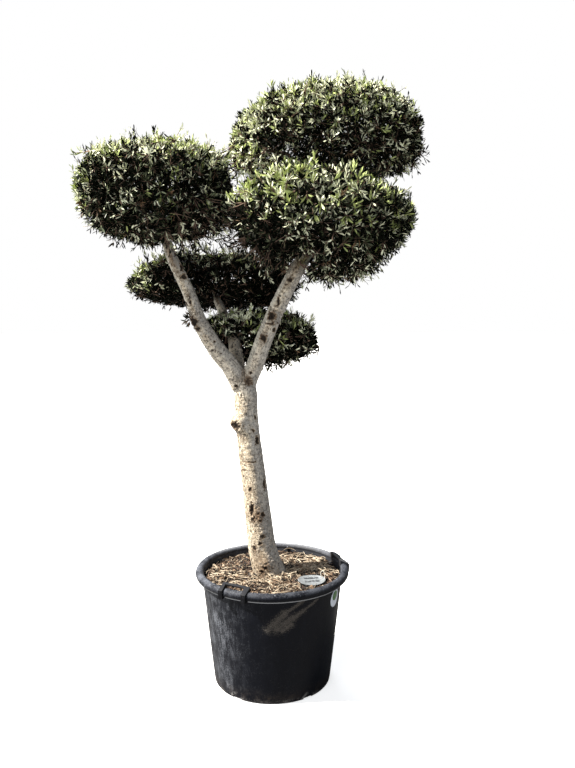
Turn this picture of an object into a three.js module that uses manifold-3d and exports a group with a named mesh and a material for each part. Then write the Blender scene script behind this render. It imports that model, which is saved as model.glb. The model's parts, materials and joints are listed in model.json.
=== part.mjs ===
// Potted olive pompon topiary: a leaning trunk that forks into boughs, each ending in a clipped
// ball of foliage, in a black nursery pot with a rolled rim. Millimetres, +Z up. The origin is
// the centre of the pot's flat underside, and the side seen first faces -Y.
import * as THREE from "three";
import { mergeVertices } from "three/addons/utils/BufferGeometryUtils.js";
import Module from "manifold-3d";

const wasm = await Module();
wasm.setup();

// Driving dimensions
const touchGap = 0.3; // left between neighbours that touch
const pot = {
  height: 450, footRadius: 228, wallTopRadius: 277, wall: 4, floor: 4, footRound: 7,
  beadCentre: 284, beadRadius: 16, beadSteps: 9, sides: 48,
};
const gussets = { turns: [77, 257], thick: 4, deep: 14, low: 420, high: 441 };
const grips = [
  { name: "grip_front", turn: -118 },
  { name: "grip_side", turn: 17 },
];
const grip = { wide: 114, arm: 18, foot: 414, top: 465, barTall: 5.5, barDeep: 15, inner: 264, outer: 303 };
const drains = { count: 5, first: -125, wide: 40, inner: 194, outer: 236, tall: 9 };
const soilTop = 400;
const mulch = { seed: 5, atTrunk: 419, atWall: 412, rough: 3.5, rings: 5, dip: 9, dipToward: -42 };
const tag = { long: 108, wide: 84, thick: 2.5, sides: 28, centre: [156, -78, 412.5], tilt: 3, turn: 8 };

// Limbs: each station is [x, y, z, radius]
const trunkLine = [
  [-6, 10, 380, 62], [-16, 10, 430, 57], [-40, 8, 525, 53.5], [-55, 6, 654, 50], [-69, 4, 781, 47.5],
  [-84, 2, 907, 45], [-96, 0, 1040, 42], [-103, 0, 1135, 43], [-106, 2, 1196, 34],
];
const leftLine = [
  [-104, 2, 1110, 33], [-118, -2, 1170, 33.5], [-151, -10, 1240, 30], [-195, -20, 1296, 27.5],
  [-242, -30, 1366, 26], [-276, -40, 1432, 24.5], [-302, -50, 1508, 23], [-327, -53, 1563, 22],
  [-362, -57, 1638, 20.5], [-382, -60, 1698, 19.5],
];
const rightLine = [
  [-106, 4, 1110, 36], [-92, 0, 1180, 35], [-65, -10, 1240, 32.5], [-34, -30, 1325, 31.5],
  [10, -50, 1433, 30.5], [58, -70, 1533, 28], [96, -88, 1608, 25], [112, -96, 1636, 24],
];
const middleLine = [
  [-112, 20, 1120, 26], [-127, 40, 1200, 27], [-138, 64, 1262, 26.5], [-147, 92, 1316, 24.5],
  [-166, 134, 1374, 20], [-200, 182, 1438, 18], [-226, 216, 1490, 17],
];
const topLine = [
  [62, -72, 1548, 17], [88, -30, 1592, 18], [118, 40, 1650, 18], [142, 112, 1722, 17],
  [158, 176, 1806, 16], [176, 222, 1888, 15], [190, 244, 1962, 14],
];
const limbSteps = { trunk: 22, bough: 14, stem: 6, probe: 40 };
const limbSides = { trunk: 16, bough: 12, stem: 8 };
// Pruning knots and swellings on the trunk: height, turn in degrees, how far out, how tall
const trunkKnots = [
  { z: 1024, turn: 203, out: 22, tall: 26 },
  { z: 590, turn: 290, out: 5, tall: 34 },
  { z: 470, turn: 300, out: 6, tall: 30 },
  { z: 1130, turn: 330, out: 5, tall: 30 },
];
const knotTight = 3.2; // how soon a knot fades round the trunk
const rootFlare = { out: 9, fade: 45, lobes: 5, lobeShare: 0.35 };

// Balls of foliage: half sizes in plan, rise above and drop below the centre, how square the upper and
// lower halves are, and how much lower the underside hangs toward +X and +Y
const masses = [
  {
    name: "foliage_left", seed: 11, centre: [-430, -50, 1872], half: [300, 288], up: 200, down: 184,
    square: [2.8, 2.5], sag: [0.0, 0.0], shoots: 36, limb: "bough_left",
  },
  {
    name: "foliage_top", seed: 23, centre: [216, 280, 2160], half: [388, 330], up: 208, down: 196,
    square: [2.35, 2.6], sag: [0.06, 0.0], shoots: 42, limb: "bough_top",
  },
  {
    name: "foliage_front", seed: 37, centre: [189, -200, 1768], half: [330, 290], up: 216, down: 226,
    square: [2.5, 2.15], sag: [0.22, 0.3], shoots: 38, limb: "bough_right",
  },
  {
    name: "foliage_low_left", seed: 41, centre: [-246, 285, 1556], half: [362, 262], up: 150, down: 112,
    square: [2.3, 2.2], sag: [-0.1, 0.35], shoots: 32, limb: "bough_middle",
  },
  {
    name: "foliage_low_right", seed: 59, centre: [-32, 176, 1336], half: [232, 190], up: 116, down: 116,
    square: [2.3, 2.2], sag: [0.0, 0.1], shoots: 22, limb: "bough_middle", fromSide: true,
  },
];
const ball = { coreDepth: 42, lump: 0.018, coreDetail: 3, heartDrop: 0.25, leastReach: 0.35 };
const branching = { forks: 7, forkShare: 0.4, jitter: 0.25 };
const shoot = { tipDepth: 48, thick: 11, seenFrom: 0.72, sprigEvery: 9, sprigOut: 20, tipPast: 7 };
const leaf = { long: [58, 76], wide: 16.5, thick: 1.4, widestAt: 0.42 };
const leafPairs = [
  { under: 36, lean: 0.95 },
  { under: 8, lean: 0.5 },
];
const stem = { atTip: 0.9, atSide: 0.6, taper: 0.2 };
const limbClear = 5; // kept between a leaf or twig and a limb
const ballClear = 1.01; // share of another mass's reach that a leaf or twig stays outside

const rad = THREE.MathUtils.degToRad;
const v3 = (a) => new THREE.Vector3(a[0], a[1], a[2]);

const material = (color, roughness) => new THREE.MeshStandardMaterial({ color, roughness, metalness: 0 });
const blackPlastic = material(0x1b1d20, 0.5);
const darkSoil = material(0x3a2a1e, 0.95);
const barkMulch = material(0xa98a63, 0.9);
const whiteTag = material(0xd9dad6, 0.5);
const bark = material(0xb9a488, 0.85);
const oliveLeaf = material(0x55613c, 0.6);

const group = new THREE.Group();
const limbs = {
  trunk: { line: trunkLine, swell: trunkSwell },
  bough_left: { line: leftLine },
  bough_right: { line: rightLine },
  bough_middle: { line: middleLine },
  bough_top: { line: topLine },
};

function bareOf(geometry) {
  geometry.deleteAttribute("normal");
  geometry.deleteAttribute("uv");
  return geometry;
}

// Turns a closed geometry into a solid for cutting and joining
function solidOf(geometry) {
  const merged = mergeVertices(bareOf(geometry), 1e-4);
  const mesh = new wasm.Mesh({
    numProp: 3,
    vertProperties: merged.attributes.position.array,
    triVerts: new Uint32Array(merged.index.array),
  });
  return new wasm.Manifold(mesh);
}

// Turns a solid back into a geometry, and drops loose scraps
function geometryOf(solid) {
  const bodies = solid.decompose().sort((a, b) => b.volume() - a.volume());
  const mesh = bodies[0].getMesh();
  const place = new Float32Array(mesh.numVert * 3);
  for (let i = 0; i < mesh.numVert; i++) {
    place.set(mesh.vertProperties.subarray(i * mesh.numProp, i * mesh.numProp + 3), i * 3);
  }
  const geometry = new THREE.BufferGeometry();
  geometry.setAttribute("position", new THREE.BufferAttribute(place, 3));
  geometry.setIndex(new THREE.BufferAttribute(mesh.triVerts, 1));
  geometry.computeVertexNormals();
  return geometry;
}

function addNode(name, geometry, look) {
  const mesh = new THREE.Mesh(geometry, look);
  mesh.name = name;
  group.add(mesh);
}

// A row of numbers from 0 to 1 that is the same each time for the same seed
function seededRow(seed) {
  let state = seed >>> 0;
  return () => {
    state = (Math.imul(state, 1664525) + 1013904223) >>> 0;
    return state / 4294967296;
  };
}

function lathe(profile, sides) {
  const points = profile.map(([r, z]) => new THREE.Vector2(r, z));
  return new THREE.LatheGeometry(points, sides).rotateX(Math.PI / 2);
}

// A box whose length points out from the upright axis at a turn in degrees
function radialBox(inner, outer, wide, low, high, turn) {
  const box = new THREE.BoxGeometry(outer - inner, wide, high - low);
  return box.translate((inner + outer) / 2, 0, (low + high) / 2).rotateZ(rad(turn));
}

// Pot

const wallRadius = (z) => pot.footRadius + ((pot.wallTopRadius - pot.footRadius) * z) / pot.height;
const beadHeight = pot.height - pot.beadRadius;

// The outside of wall and rolled rim, from the foot up over the roll, stood out by a clearance
function potOutside(grow) {
  const { footRadius, footRound, beadRadius } = pot;
  const profile = [[footRadius - footRound + grow, -grow], [footRadius + grow, footRound]];
  const under = beadHeight - beadRadius;
  profile.push([wallRadius(under) + grow, under - grow]);
  for (let i = 0; i <= pot.beadSteps; i++) {
    const turn = rad(-120 + (280 * i) / pot.beadSteps);
    const reach = beadRadius + grow;
    profile.push([pot.beadCentre + reach * Math.cos(turn), beadHeight + reach * Math.sin(turn)]);
  }
  return profile;
}

function makePot() {
  const inside = [[wallRadius(beadHeight) - pot.wall, beadHeight - 1]];
  inside.push([wallRadius(pot.floor) - pot.wall, pot.floor], [0, pot.floor]);
  let shell = solidOf(lathe([[0, 0], ...potOutside(0), ...inside], pot.sides));
  for (const turn of gussets.turns) {
    const inner = wallRadius(gussets.high) - pot.wall - gussets.deep;
    const outer = wallRadius(gussets.low) - pot.wall / 4;
    shell = shell.add(solidOf(radialBox(inner, outer, gussets.thick, gussets.low, gussets.high, turn)));
  }
  for (let i = 0; i < drains.count; i++) {
    const turn = drains.first + (360 * i) / drains.count;
    const slot = radialBox(drains.inner, drains.outer, drains.wide, -drains.tall, drains.tall, turn);
    shell = shell.subtract(solidOf(slot));
  }
  addNode("pot", geometryOf(shell), blackPlastic);
}

// A raised hand grip: a bar above the roll's inner side, on two arms that wrap over the roll
function makeGrip({ name, turn }) {
  const { foot, top, inner, outer, barDeep, barTall, arm, wide } = grip;
  const pieces = [radialBox(inner, inner + barDeep, wide - arm, top - barTall, top, 0)];
  for (const hand of [-1, 1]) {
    pieces.push(radialBox(inner, outer, arm, foot, top, 0).translate(0, (hand * (wide - arm)) / 2, 0));
  }
  const frame = wasm.Manifold.union(pieces.map((piece) => solidOf(piece.rotateZ(rad(turn)))));
  const rim = solidOf(lathe([[0, -touchGap], ...potOutside(touchGap), [0, beadHeight]], pot.sides));
  addNode(name, geometryOf(frame.subtract(rim)), blackPlastic);
}

function makeSoil() {
  const inside = (z) => wallRadius(z) - pot.wall - touchGap;
  const low = pot.floor + touchGap;
  const profile = [[0, low], [inside(low), low], [inside(soilTop), soilTop], [0, soilTop]];
  addNode("soil", lathe(profile, pot.sides), darkSoil);
}

// A loose layer round the trunk, higher at the middle and rough on top, cut clear of what stands in it
function makeMulch(cutters) {
  const next = seededRow(mulch.seed);
  const low = soilTop + touchGap;
  const edge = (z) => wallRadius(z) - pot.wall - touchGap;
  const profile = [[0, low], [edge(low), low], [edge(mulch.atWall), mulch.atWall]];
  for (let i = mulch.rings - 1; i >= 0; i--) {
    const share = i / mulch.rings;
    profile.push([edge(low) * share, mulch.atTrunk + (mulch.atWall - mulch.atTrunk) * share * share]);
  }
  const layer = mergeVertices(bareOf(lathe(profile, pot.sides)), 1e-3);
  const place = layer.attributes.position;
  for (let i = 0; i < place.count; i++) {
    const r = Math.hypot(place.getX(i), place.getY(i));
    if (place.getZ(i) > low + 1 && r > 1) {
      const toward = Math.cos(Math.atan2(place.getY(i), place.getX(i)) - rad(mulch.dipToward));
      const dip = mulch.dip * Math.max(0, toward) ** 4 * (r / edge(low)) ** 2;
      const z = place.getZ(i) + (next() - 0.5) * 2 * mulch.rough - dip;
      const flush = r > edge(low) - 1 ? edge(z) / r : 1;
      place.setXYZ(i, place.getX(i) * flush, place.getY(i) * flush, z);
    }
  }
  const layerSolid = cutters.reduce((rest, cutter) => rest.subtract(cutter), solidOf(layer));
  addNode("mulch", geometryOf(layerSolid), barkMulch);
}

// The oval tag that lies bedded in the mulch, or the space that it and what is above it takes
function tagGeometry(grow, above) {
  const radius = tag.long / 2 + grow;
  const thick = tag.thick + 2 * grow + above;
  const plate = new THREE.CylinderGeometry(radius, radius, thick, tag.sides).rotateX(Math.PI / 2);
  plate.scale(1, (tag.wide / 2 + grow) / radius, 1).translate(0, 0, above / 2);
  return plate.rotateX(rad(tag.tilt)).rotateZ(rad(tag.turn)).translate(...tag.centre);
}

// Limbs

// Evenly spaced places along a limb with their radius
function limbStations(line, steps) {
  const curve = new THREE.CatmullRomCurve3(line.map(v3));
  const radii = new THREE.CatmullRomCurve3(line.map((s) => new THREE.Vector3(s[3], 0, 0)));
  const stations = [];
  for (let i = 0; i <= steps; i++) {
    stations.push({ at: curve.getPoint(i / steps), radius: radii.getPoint(i / steps).x });
  }
  return { curve, stations };
}

// How far the trunk's surface stands out from its plain taper, for its root flare and its knots
function trunkSwell(point, turn) {
  const above = Math.max(0, point.z - soilTop);
  const lobe = 1 + rootFlare.lobeShare * Math.cos(rootFlare.lobes * turn);
  let out = rootFlare.out * Math.exp(-above / rootFlare.fade) * lobe;
  for (const knot of trunkKnots) {
    const round = Math.cos(turn - rad(knot.turn));
    const near = ((point.z - knot.z) / knot.tall) ** 2 + ((1 - round) * knotTight) ** 2;
    out += knot.out * Math.exp(-near);
  }
  return out;
}

// A closed cylinder whose rings are moved onto the limb's line
function limbGeometry(line, sides, steps, grow, swell) {
  const { curve, stations } = limbStations(line, steps);
  const frames = curve.computeFrenetFrames(steps, false);
  const tube = bareOf(new THREE.CylinderGeometry(1, 1, 1, sides, steps));
  const place = tube.attributes.position;
  for (let i = 0; i < place.count; i++) {
    const step = Math.round((place.getY(i) + 0.5) * steps);
    const station = stations[step];
    const along = frames.tangents[step];
    const side = new THREE.Vector3(1, 0, 0).addScaledVector(along, -along.x).normalize();
    const back = new THREE.Vector3().crossVectors(along, side);
    const reach = Math.hypot(place.getX(i), place.getZ(i));
    const turn = Math.atan2(place.getX(i), place.getZ(i));
    const out = new THREE.Vector3().addScaledVector(side, Math.cos(turn)).addScaledVector(back, Math.sin(turn));
    const around = Math.atan2(out.y, out.x);
    const radius = (station.radius + grow + (swell ? swell(station.at, around) : 0)) * reach;
    const end = step === 0 ? -grow : step === steps ? grow : 0;
    const moved = station.at.clone().addScaledVector(out, radius).addScaledVector(along, end);
    place.setXYZ(i, moved.x, moved.y, moved.z);
  }
  return tube;
}

function limbSolid(name, grow = 0) {
  const { line, swell } = limbs[name];
  const kind = name === "trunk" ? "trunk" : "bough";
  return solidOf(limbGeometry(line, limbSides[kind], limbSteps[kind], grow, swell));
}

function makeLimbs() {
  const below = 2 * pot.footRadius;
  const underSoil = new THREE.BoxGeometry(below, below, below).translate(0, 0, soilTop + touchGap - below / 2);
  const names = Object.keys(limbs);
  names.forEach((name, i) => {
    let wood = limbSolid(name);
    if (name === "trunk") wood = wood.subtract(solidOf(underSoil));
    for (const earlier of names.slice(0, i)) wood = wood.subtract(limbSolid(earlier, touchGap));
    addNode(name, geometryOf(wood), bark);
    limbs[name].stations = limbStations(limbs[name].line, limbSteps.probe).stations;
  });
}

// Clearance from a point to the nearest limb
function limbDistance(point) {
  let least = Infinity;
  for (const { stations } of Object.values(limbs)) {
    for (const { at, radius } of stations) least = Math.min(least, at.distanceTo(point) - radius);
  }
  return least;
}

// Foliage

// How far out a point lies in a mass: 0 at its centre, 1 on its outline
function shareOf(mass, point) {
  const x = (point.x - mass.centre[0]) / mass.half[0];
  const y = (point.y - mass.centre[1]) / mass.half[1];
  const rise = point.z - mass.centre[2];
  const sag = THREE.MathUtils.clamp(1 + mass.sag[0] * x + mass.sag[1] * y, 0.5, 1.5);
  const z = rise > 0 ? rise / mass.up : rise / (mass.down * sag);
  const square = mass.square[rise > 0 ? 0 : 1];
  const flat = Math.hypot(x, y);
  const turn = Math.atan2(y, x);
  const tilt = Math.atan2(z, flat);
  const wave = Math.sin(3 * turn + mass.seed) * Math.cos(tilt) + Math.sin(2 * turn - mass.seed + 3 * tilt);
  return (flat ** square + Math.abs(z) ** square) ** (1 / square) / (1 + ball.lump * wave);
}

// Depth of a point under the outline, below zero outside it
function depthOf(mass, point) {
  return v3(mass.centre).distanceTo(point) * (1 / shareOf(mass, point) - 1);
}

// The point at a depth under the outline, in the direction of a unit vector of the ball
function pointUnder(mass, way, depth) {
  const rise = way.z > 0 ? mass.up : mass.down;
  const out = new THREE.Vector3(way.x * mass.half[0], way.y * mass.half[1], way.z * rise);
  const centre = v3(mass.centre);
  const reach = out.length() / shareOf(mass, centre.clone().add(out));
  return centre.addScaledVector(out.normalize(), Math.max(reach * ball.leastReach, reach - depth));
}

// Points under the outline at a depth, spread evenly by the golden angle with some seeded jitter
function spreadPoints(mass, count, depthAt, next) {
  const points = [];
  for (let i = 0; i < count; i++) {
    const z = 1 - (2 * (i + 0.5)) / count;
    const turn = i * Math.PI * (3 - Math.sqrt(5));
    const flat = Math.sqrt(1 - z * z);
    const way = new THREE.Vector3(flat * Math.cos(turn), flat * Math.sin(turn), z);
    way.add(new THREE.Vector3(next() - 0.5, next() - 0.5, next() - 0.5).multiplyScalar(branching.jitter));
    points.push(pointUnder(mass, way.normalize(), depthAt(i, z)));
  }
  return points;
}

// Each twig grows from the nearest point of the level before it
function nearest(point, parents) {
  return parents.reduce((best, p) => (p.distanceTo(point) < best.distanceTo(point) ? p : best));
}

// True where a point is inside its own mass, clear of every limb and outside every other mass
function keepsClear(mass, point, past) {
  if (depthOf(mass, point) < -past || limbDistance(point) < limbClear) return false;
  return masses.every((other) => other === mass || shareOf(other, point) > ballClear);
}

// A three-sided twig that tapers to a point at its tip
function twigGeometry(from, to, thick) {
  const length = from.distanceTo(to);
  const twig = new THREE.ConeGeometry(thick, length, 3).translate(0, length / 2, 0);
  const along = to.clone().sub(from).normalize();
  const turn = new THREE.Quaternion().setFromUnitVectors(new THREE.Vector3(0, 1, 0), along);
  return twig.applyQuaternion(turn).translate(from.x, from.y, from.z);
}

// A narrow leaf of eight faces, from its root along a direction, with its flat side toward a normal
function leafGeometry(root, along, normal, length) {
  const blade = new THREE.OctahedronGeometry(1);
  const place = blade.attributes.position;
  for (let i = 0; i < place.count; i++) {
    const y = place.getY(i);
    const far = y > 0.5 ? length : y < -0.5 ? 0 : length * leaf.widestAt;
    place.setXYZ(i, (place.getX(i) * leaf.wide) / 2, far, (place.getZ(i) * leaf.thick) / 2);
  }
  const side = new THREE.Vector3().crossVectors(along, normal).normalize();
  const face = new THREE.Vector3().crossVectors(side, along);
  const basis = new THREE.Matrix4().makeBasis(side, along, face).setPosition(root);
  return blade.applyMatrix4(basis);
}

// A twig with its pairs of leaves, or nothing where its seen part would not be clear
function shootPieces(mass, from, to, past, next) {
  const along = to.clone().sub(from).normalize();
  if (![shoot.seenFrom, 1].every((t) => keepsClear(mass, from.clone().lerp(to, t), past))) return [];
  const pieces = [solidOf(twigGeometry(from, to, shoot.thick))];
  const across = new THREE.Vector3(0.3, 0.2, 1).cross(along).normalize();
  let turn = next() * Math.PI;
  for (const { under, lean } of leafPairs) {
    for (const hand of [0, Math.PI]) {
      const side = across.clone().applyAxisAngle(along, turn + hand);
      const aim = along.clone().multiplyScalar(Math.cos(lean)).addScaledVector(side, Math.sin(lean));
      const length = THREE.MathUtils.lerp(...leaf.long, next());
      const root = to.clone().addScaledVector(along, -under);
      const clear = [0.5, 1].every((t) => keepsClear(mass, root.clone().addScaledVector(aim, length * t), past));
      const normal = new THREE.Vector3().crossVectors(aim, side).cross(aim);
      if (clear) pieces.push(solidOf(leafGeometry(root, aim, normal, length)));
    }
    turn += Math.PI / 2;
  }
  return pieces;
}

// The stem goes on from the limb's tip to the heart, or leaves the side of a limb that passes the mass
function stemSolid(mass, heart) {
  const { stations } = limbs[mass.limb];
  const inMass = stations.filter(({ at }) => shareOf(mass, at) < 1);
  const root = mass.fromSide ? inMass[Math.floor(inMass.length / 2)] : stations.at(-1);
  const radius = root.radius * (mass.fromSide ? stem.atSide : stem.atTip);
  const inner = mass.fromSide ? root.at : stations.at(-3).at;
  const middle = root.at.clone().lerp(heart, 0.2);
  const line = [inner, middle, heart].map((p, i) => [p.x, p.y, p.z, radius * (1 - stem.taper * i)]);
  return solidOf(limbGeometry(line, limbSides.stem, limbSteps.stem, 0));
}

function coreSolid(mass) {
  const core = bareOf(new THREE.IcosahedronGeometry(1, ball.coreDetail));
  const place = core.attributes.position;
  for (let i = 0; i < place.count; i++) {
    const way = new THREE.Vector3().fromBufferAttribute(place, i).normalize();
    const moved = pointUnder(mass, way, ball.coreDepth);
    place.setXYZ(i, moved.x, moved.y, moved.z);
  }
  return solidOf(core);
}

// A sprig here and there in the upper half stands out past the clipped outline
const sprigPast = (i, z) => (i % shoot.sprigEvery === 4 && z > 0 ? shoot.sprigOut : 0);

function makeMass(mass) {
  const next = seededRow(mass.seed);
  const heart = v3(mass.centre).add(new THREE.Vector3(0, 0, -ball.heartDrop * mass.down));
  const forkDepth = (1 - branching.forkShare) * mass.up;
  const forks = spreadPoints(mass, branching.forks, () => forkDepth, next);
  const tips = spreadPoints(mass, mass.shoots, (i, z) => shoot.tipDepth - sprigPast(i, z), next);
  const pieces = [coreSolid(mass), stemSolid(mass, heart)];
  for (const fork of forks) pieces.push(solidOf(twigGeometry(heart, fork, shoot.thick)));
  tips.forEach((tip, i) => {
    const past = shoot.tipPast + sprigPast(i, 1);
    pieces.push(...shootPieces(mass, nearest(tip, forks), tip, past, next));
  });
  let made = wasm.Manifold.union(pieces);
  for (const name of Object.keys(limbs)) made = made.subtract(limbSolid(name, touchGap));
  addNode(mass.name, geometryOf(made), oliveLeaf);
}

makePot();
grips.forEach(makeGrip);
makeSoil();
makeLimbs();
makeMulch([limbSolid("trunk", touchGap), solidOf(tagGeometry(touchGap, mulch.atTrunk - soilTop))]);
addNode("plant_tag", tagGeometry(0, 0), whiteTag);
masses.forEach(makeMass);

export default group;
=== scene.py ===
import json
from contextlib import contextmanager
from math import atan2, cos, exp, pi, radians, sin, sqrt

import bmesh
import bpy
import numpy as np
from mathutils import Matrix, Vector, noise

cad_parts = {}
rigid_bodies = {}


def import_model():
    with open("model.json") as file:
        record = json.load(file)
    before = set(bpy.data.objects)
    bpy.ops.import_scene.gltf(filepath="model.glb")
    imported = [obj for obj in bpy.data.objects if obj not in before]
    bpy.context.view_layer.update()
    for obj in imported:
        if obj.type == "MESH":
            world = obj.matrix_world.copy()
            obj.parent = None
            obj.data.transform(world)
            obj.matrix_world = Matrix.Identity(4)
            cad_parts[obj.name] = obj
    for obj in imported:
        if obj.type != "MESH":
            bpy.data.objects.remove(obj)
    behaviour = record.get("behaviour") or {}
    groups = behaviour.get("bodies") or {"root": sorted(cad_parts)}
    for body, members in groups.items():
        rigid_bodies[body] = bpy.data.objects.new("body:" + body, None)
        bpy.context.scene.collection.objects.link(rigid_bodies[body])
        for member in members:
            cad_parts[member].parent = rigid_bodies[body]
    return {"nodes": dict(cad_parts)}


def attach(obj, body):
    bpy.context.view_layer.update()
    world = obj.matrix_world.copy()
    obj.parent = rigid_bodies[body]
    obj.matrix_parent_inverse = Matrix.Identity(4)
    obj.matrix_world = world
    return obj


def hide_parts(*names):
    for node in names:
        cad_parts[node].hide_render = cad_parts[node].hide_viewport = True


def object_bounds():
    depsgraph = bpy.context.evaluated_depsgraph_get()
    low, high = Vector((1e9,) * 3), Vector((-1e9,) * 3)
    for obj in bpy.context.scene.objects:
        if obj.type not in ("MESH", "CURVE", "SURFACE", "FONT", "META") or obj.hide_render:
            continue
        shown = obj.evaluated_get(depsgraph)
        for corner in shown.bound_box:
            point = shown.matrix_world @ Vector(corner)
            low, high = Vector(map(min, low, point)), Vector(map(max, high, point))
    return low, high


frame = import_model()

mm = 0.001
scene = bpy.context.scene
cadBox = np.array([list(corner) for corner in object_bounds()])
rootBody = "root"


# Camera and light

cameraSetup = {"at": (60, -2900, 1500), "pitch": -6.5, "lens": 35.77, "sensor": 36}
plantMiddle = Vector((0, 0, 1.35))
lights = [  # name, kind, turn, rise, power, softness, colour; turn 270 is the camera's side, 180 its left
    ("key", "SUN", 193, 49, 11.7, 0.025, (1.0, 0.95, 0.87)),
    ("fill", "AREA", 240, 8, 76, 2.6, (0.95, 0.97, 1.0)),
    ("rim", "AREA", 100, 38, 90, 2.0, (0.95, 0.97, 1.0)),
]
lightAway = 5.2
studio = {
    "skyStrength": 0.33, "skyColour": (0.86, 0.92, 1.0, 1), "floorRadius": 30000, "floorSides": 64,
    "floorBelow": 0.2, "floorColour": (0.78, 0.78, 0.78), "floorBounce": (0.2, 0.2, 0.2),
    "floorGlow": (0.7, 0.7, 0.7),
}


def makeCamera():
    data = bpy.data.cameras.new("camera")
    data.lens = cameraSetup["lens"]
    data.sensor_width = cameraSetup["sensor"]
    camera = bpy.data.objects.new("camera", data)
    camera.location = Vector(cameraSetup["at"]) * mm
    camera.rotation_euler = (radians(90 + cameraSetup["pitch"]), 0, 0)
    scene.collection.objects.link(camera)
    scene.camera = camera


def makeLights():
    for name, kind, turn, rise, power, soft, colour in lights:
        data = bpy.data.lights.new(name, kind)
        data.energy, data.color = power, colour
        setattr(data, "angle" if kind == "SUN" else "size", soft)
        turn, rise = radians(turn), radians(rise)
        out = Vector((cos(turn) * cos(rise), sin(turn) * cos(rise), sin(rise)))
        light = bpy.data.objects.new(name, data)
        light.location = plantMiddle + out * lightAway
        light.rotation_euler = out.to_track_quat("Z", "Y").to_euler()
        scene.collection.objects.link(light)


def makeSky():
    world = bpy.data.worlds.new("studio")
    scene.world = world
    world.use_nodes = True
    sky, nodes = Graph(world.node_tree), world.node_tree.nodes
    soft = nodes["Background"]  # what lights the plant
    soft.inputs["Color"].default_value = studio["skyColour"]
    soft.inputs["Strength"].default_value = studio["skyStrength"]
    white = sky.node("ShaderNodeBackground", {}, {"Color": (1, 1, 1, 1)})  # the plain backdrop
    seen = sky.node("ShaderNodeLightPath", out="Is Camera Ray")
    mixed = sky.node("ShaderNodeMixShader", {}, {0: seen, 1: Wire(sky, soft.outputs[0]), 2: white})
    sky.feed(nodes["World Output"].inputs["Surface"], mixed)
    scene.view_settings.view_transform = "Standard"


# Node graphs, for finishes and for what grows

class Wire:  # one output socket, so that shader maths is written as Python
    def __init__(self, graph, socket):
        self.graph, self.socket = graph, socket

    def maths(self, operation, *others):
        values = dict(enumerate((self, *others)))
        return self.graph.node("ShaderNodeMath", {"operation": operation}, values)

    def __add__(self, other):
        return self.maths("ADD", other)

    def __sub__(self, other):
        return self.maths("SUBTRACT", other)

    def __rsub__(self, other):
        return self.graph.node("ShaderNodeMath", {"operation": "SUBTRACT"}, {0: other, 1: self})

    def __mul__(self, other):
        return self.maths("MULTIPLY", other)

    def __pow__(self, other):
        return self.maths("POWER", other)

    __radd__, __rmul__ = __add__, __mul__

    def above(self, low, high):  # a soft step from 0 at low to 1 at high
        values = {"Value": self, "From Min": low, "From Max": high}
        return self.graph.node("ShaderNodeMapRange", {"interpolation_type": "SMOOTHSTEP"}, values)

    def below(self, low, high):  # a soft step from 1 at low to 0 at high
        return 1 - self.above(low, high)

    def between(self, low, high, fall, end):
        return self.above(low, high) * self.below(fall, end)


class Graph:
    def __init__(self, tree):
        self.tree = tree

    def feed(self, socket, value):
        if isinstance(value, Wire):
            self.tree.links.new(value.socket, socket)
        else:
            socket.default_value = value

    def node(self, kind, settings=None, inputs=None, out=0):
        made = self.tree.nodes.new(kind)
        for name, value in (settings or {}).items():
            setattr(made, name, value)
        for name, value in (inputs or {}).items():
            self.feed(made.inputs[name], value)
        return Wire(self, made.outputs[out])


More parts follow.
